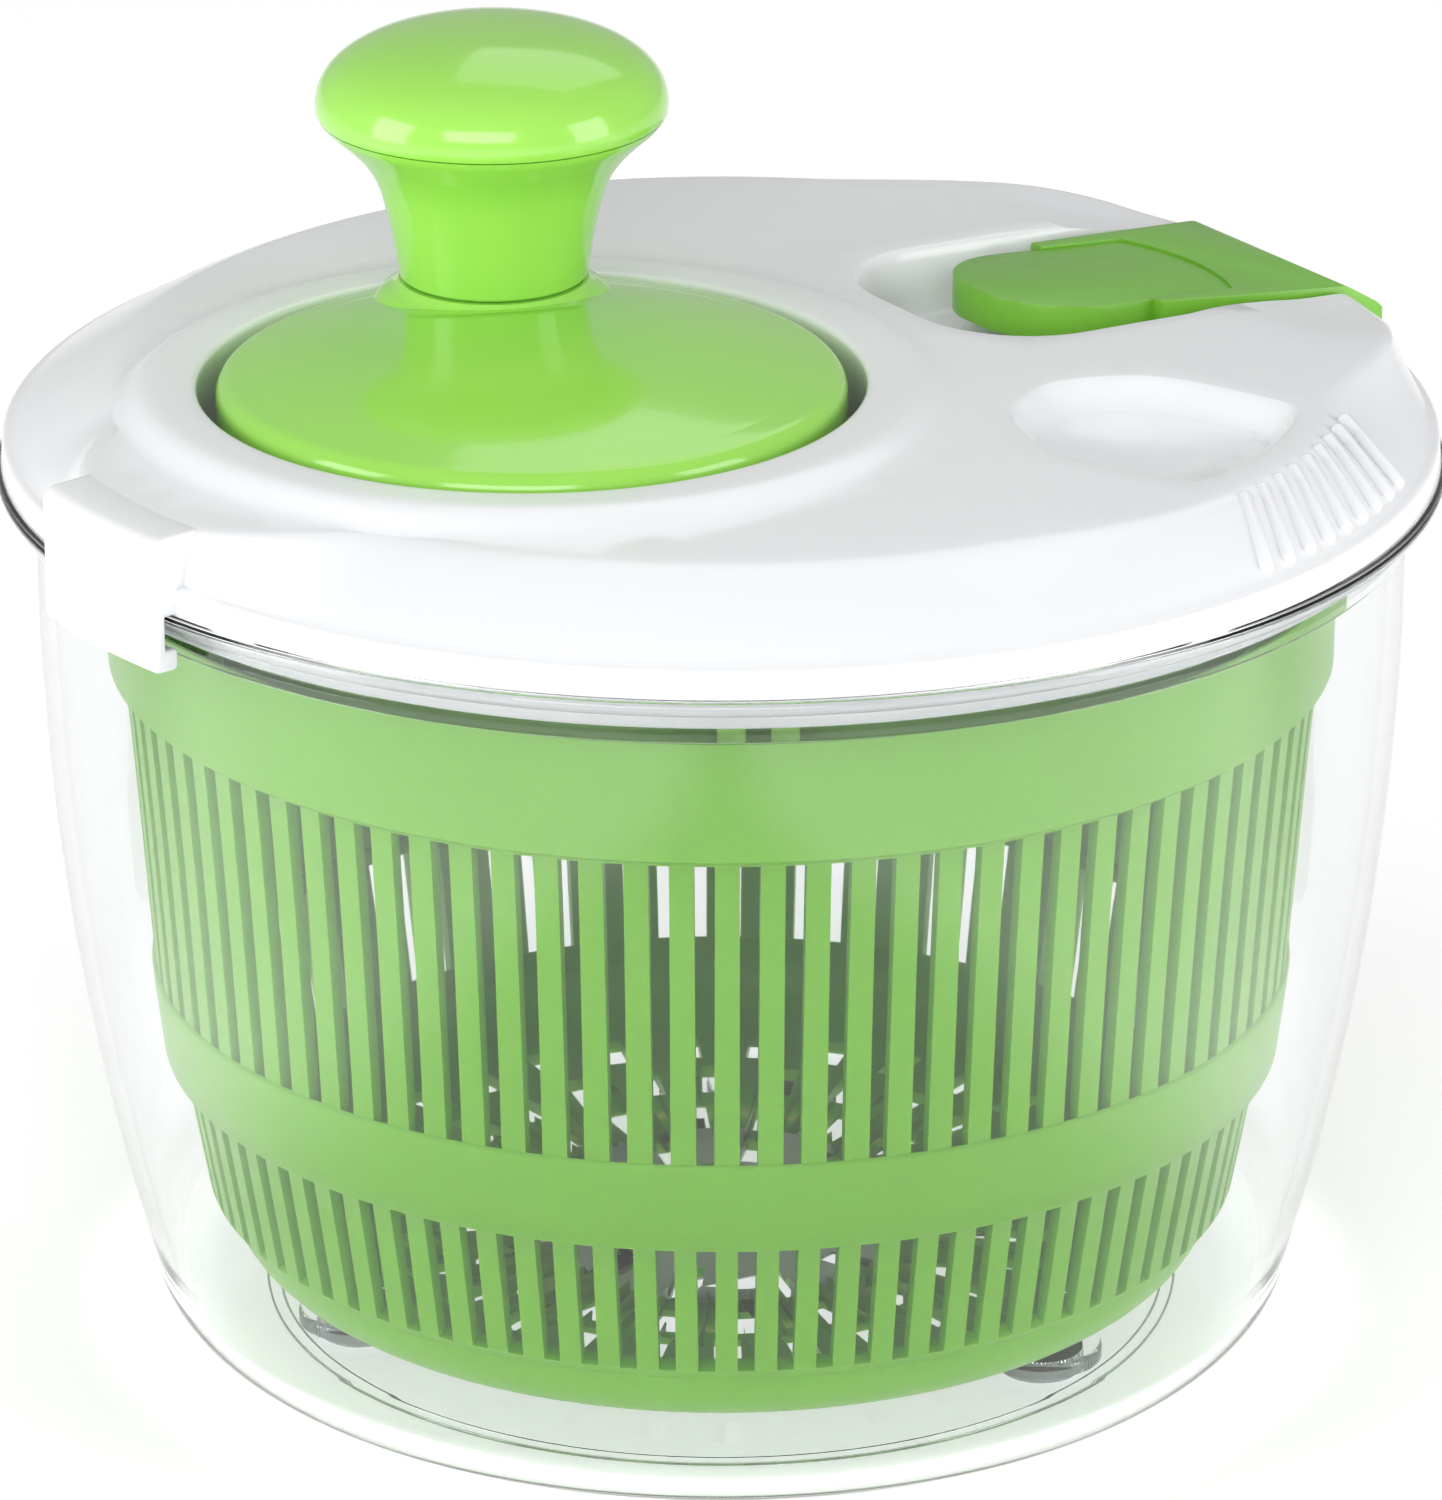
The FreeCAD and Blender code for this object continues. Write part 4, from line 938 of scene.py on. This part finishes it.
for step in range(1, 33):
    r = dome_r * (1 - step / 32)
    disc_line.append((r, dome_low + dome_rise * (1 - (r / dome_r) ** 2)))
disc_line[-1] = (0.0, dome_low + dome_rise)
disc = placed("crank_disc", turned_mesh("crank_disc", disc_line, 160, (well_x, 0.0)), green_plastic)
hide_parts("crank_disc")
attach(disc, "crank")
collar_line = [(0.0, 157.0), (19.0, 157.6), (17.2, 160.1), (15.9, 160.75), (15.1, 161.4), (14.8, 161.95),
               (14.55, 162.2), (14.0, 162.25), (0.0, 162.25)]
collar = placed("crank_collar", turned_mesh("crank_collar", collar_line, 96, knob_place), green_plastic)
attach(collar, "crank")
journal = placed("crank_journal",
                 turned_mesh("crank_journal", [(0.0, 139.3)]
                             + rounded_line([(4.0, 139.3, 0), (5.0, 139.3, 0.4), (5.0, 150.0, 0)])
                                              + [(0.0, 150.0)], 48, (well_x, 0.0)), green_plastic)
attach(journal, "crank")

# ---- Ring gear, washers and screws under the disc ----
# Acetal ring gear held by three screws, and the washer and screw that keep the journal in its bush.
finish_nodes(acetal, "ring_gear")
finish_nodes(steel, "ring_gear_screws", "crank_washer", "crank_screw", "knob_pin", "knob_washer",
             "knob_screw")

# ---- Knob ----
# Two green ABS mouldings, polished: a waisted body that turns on its pin, and a mushroom cap snapped
# on at the widest place, where a fine parting line shows.


def smooth_line(points, steps=6):
    """Catmull-Rom curve through (r, z) points."""
    run = [points[0]] + list(points) + [points[-1]]
    line = []
    for p0, p1, p2, p3 in zip(run, run[1:], run[2:], run[3:]):
        for step in range(steps):
            t = step / steps
            line.append(tuple(0.5 * (2 * b + (c - a) * t + (2 * a - 5 * b + 4 * c - d) * t * t
                                     + (3 * b - a - 3 * c + d) * t ** 3)
                              for a, b, c, d in zip(p0, p1, p2, p3)))
    line.append(points[-1])
    return line


seat_z = 162.53
cap_r = 26.8
cap_widest = 27.0
cap_rise = 12.2
neck = smooth_line([(14.35, 0.35), (14.8, 3.0), (15.6, 7.5), (16.8, 12.5), (18.2, 16.2), (20.4, 19.4),
                    (23.2, 22.2), (25.4, 24.2), (26.35, 25.45)])
body_line = [(4.1, 18.0), (4.1, 0.0), (14.0, 0.0)] + neck + [(24.6, 25.45), (16.0, 17.5), (13.0, 5.0),
        (8.0, 3.0), (6.3, 3.0), (6.3, 18.0), (4.1, 18.0)]
knob_body = placed("knob_body", turned_mesh("knob_body", [(r, z + seat_z) for r, z in body_line], 128,
                                            knob_place), green_plastic)
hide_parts("knob_body")
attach(knob_body, "knob")
cap_line = [(0.0, 28.9), (20.6, 28.9), (20.6, 25.55), (26.0, 25.55), (26.45, 25.65), (26.72, 26.1),
            (cap_r, cap_widest)]
for step in range(1, 41):
    t = math.pi / 2 * step / 40
    cap_line.append((cap_r * math.cos(t) ** (2 / 2.35), cap_widest + cap_rise * math.sin(t) ** (2 / 2.2)))
cap_line[-1] = (0.0, cap_widest + cap_rise)
knob_cap = placed("knob_cap", turned_mesh("knob_cap", [(r, z + seat_z) for r, z in cap_line], 128,
                                          knob_place), green_plastic)
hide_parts("knob_cap")
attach(knob_cap, "knob")

# ---- Pinion and drive plate ----
# Acetal pinion on a steel spindle, and a green nylon drive plate with six forks below the lid. A thin
# ring under the plate stiffens it. They spin with the basket.
drive_plastic, drive_shader = moulded("green nylon", (0.25, 0.56, 0.07), 0.35, grain=1500.0, lift=0.00002,
                                      patchy=0.03, scuffs=0.1)
finish_nodes(acetal, "pinion")
finish_nodes(drive_plastic, "rotor")
skirt_r = 86.4
skirt_thick = 1.4
skirt_low = 122.6
skirt_top = 132.3
skirt_wall = rounded_line([(skirt_r - skirt_thick, skirt_low, 0.6), (skirt_r, skirt_low, 0.6),
                           (skirt_r, skirt_top, 0), (skirt_r - skirt_thick, skirt_top, 0)], closed=True,
                           steps=3)
rotor_skirt = placed("rotor_skirt", turned_mesh("rotor_skirt", skirt_wall + skirt_wall[:1], 128),
                     drive_plastic)
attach(rotor_skirt, "rotor")
finish_nodes(steel, "rotor_spindle", "rotor_washer", "rotor_screw")

# ---- Press latch ----
# Green ABS lever in one moulding: a wedge-shaped tongue with a round end, a wider block round its
# root, and a hook over the rim. It rocks on a steel pin over a coil spring.


def prism(name, outline, along, low, high):
    """Solid of an outline; along is 1 for an (x, z) outline run in Y, and 2 for (x, y) run in Z."""
    sections = []
    for level in (low, high):
        sections.append([(a, level, b) if along == 1 else (a, b, level) for a, b in outline])
    return placed(name, closed_strip(name, sections))


def lever_part(name, side, plan):
    """What a side outline and a plan outline have in common."""
    part = prism(name, side, 1, -40.0, 40.0)
    carve(part, [prism("plan", plan, 2, 120.0, 170.0)], "INTERSECT")
    return part


tip_x = 46.0
hook_out = 112.7
panel_half = 15.0
panel_bow = 3.6


def lever_top(x):
    """Height of the lever's sloping top."""
    return 155.6 - 5.0 * (x - tip_x) / 57.7


tip_side = rounded_line([(tip_x, lever_top(tip_x), 1.0), (89.6, lever_top(89.6), 0), (89.6, 147.6, 0),
                         (64.0, 147.6, 3.0), (tip_x, 150.0, 0.6)], closed=True, steps=4)
panel_plan = [(tip_x + panel_half + panel_half * math.cos(math.radians(a)),
               panel_half * math.sin(math.radians(a)))
              for a in range(90, 271, 6)]
for step in range(17):
    across = panel_half * (step / 8 - 1)
    panel_plan.append((85.6 + panel_bow * (1 - (across / panel_half) ** 2), across))
tongue = lever_part("tongue", tip_side, panel_plan)
raised = 0.4
side_outline = rounded_line([(70.0, lever_top(70.0) + raised, 0.4), (104.0, lever_top(104.0) + raised, 4.0),
                             (109.9, 147.4, 5.0), (hook_out, 144.4, 1.5), (hook_out, 143.8, 0),
                             (90.0, 143.8, 0),
                             (86.0, 147.6, 0.5), (70.0, 147.6, 0.4)], closed=True, steps=5)
outer_arc = [(math.sqrt(hook_out ** 2 - (y * 20.5) ** 2), y * 20.5) for y in [k / 8 - 1 for k in range(17)]]
border_plan = ([(70.0, -17.5)] + outer_arc + [(70.0, 17.5)] + [(70.0, 14.95)]
               + [(85.5 + panel_bow * (1 - share ** 2), share * (panel_half - 0.05))
                  for share in [1 - k / 8 for k in range(17)]] + [(70.0, -14.95)])
border = lever_part("border", side_outline, border_plan)
under_outline = [(70.4, lever_top(70.4) - 0.5), (100.0, lever_top(100.0) - 0.5), (100.0, 143.8),
                 (90.0, 143.8), (86.0, 147.6), (70.4, 147.6)]
under_block = lever_part("under block", under_outline, [(70.4, -16.5), (100.0, -18.5), (100.0, 18.5),
                                                        (70.4, 16.5)])
hook_side = rounded_line([(110.7, 146.0, 0), (110.7, 134.8, 0.4), (108.7, 134.8, 0.5), (108.7, 131.6, 0.8),
                          (hook_out, 131.6, 1.2), (hook_out, 146.0, 0)], closed=True, steps=3)
hook = lever_part("hook", hook_side, [(105.0, -11.0), (math.sqrt(hook_out ** 2 - 121.0), -11.0),
                                      (112.5, -6.0), (hook_out, 0.0), (112.5, 6.0),
                                      (math.sqrt(hook_out ** 2 - 121.0), 11.0), (105.0, 11.0)])
seat_hole = placed("seat hole",
                   turned_mesh("seat hole", [(0, 140.0), (3.35, 140.0), (3.35, 150.45), (0, 150.45)], 32,
                               (80.7, 0.0)))
pin_hole = placed("pin hole", turned_mesh("pin hole", [(0, -30.0), (1.56, -30.0), (1.56, 30.0), (0, 30.0)],
                                          32))
pin_hole.data.transform(Matrix.Translation((0.096, 0, 0.1475)) @ Matrix.Rotation(math.radians(90), 4, "X"))
for part in (tongue, border, hook):
    soft = part.modifiers.new("edges", "BEVEL")
    soft.width = 0.35 * MM
    soft.segments = 2
    soft.limit_method = "ANGLE"
    soft.angle_limit = math.radians(40)
    settle(part)
carve(under_block, [tongue, border, hook], "UNION")
carve(under_block, [seat_hole, pin_hole], "DIFFERENCE")
lever = under_block
lever.name = "latch_lever_body"
lever.data.materials.clear()
lever_plastic, lever_shader = moulded("green satin plastic", (0.16, 0.44, 0.03), 0.3, grain=1100.0,
                                      lift=0.00001, patchy=0.02, scuffs=0.1)
lever.data.materials.append(lever_plastic)
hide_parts("latch_lever")
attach(lever, "latch")
finish_nodes(steel, "latch_pin", "latch_spring")
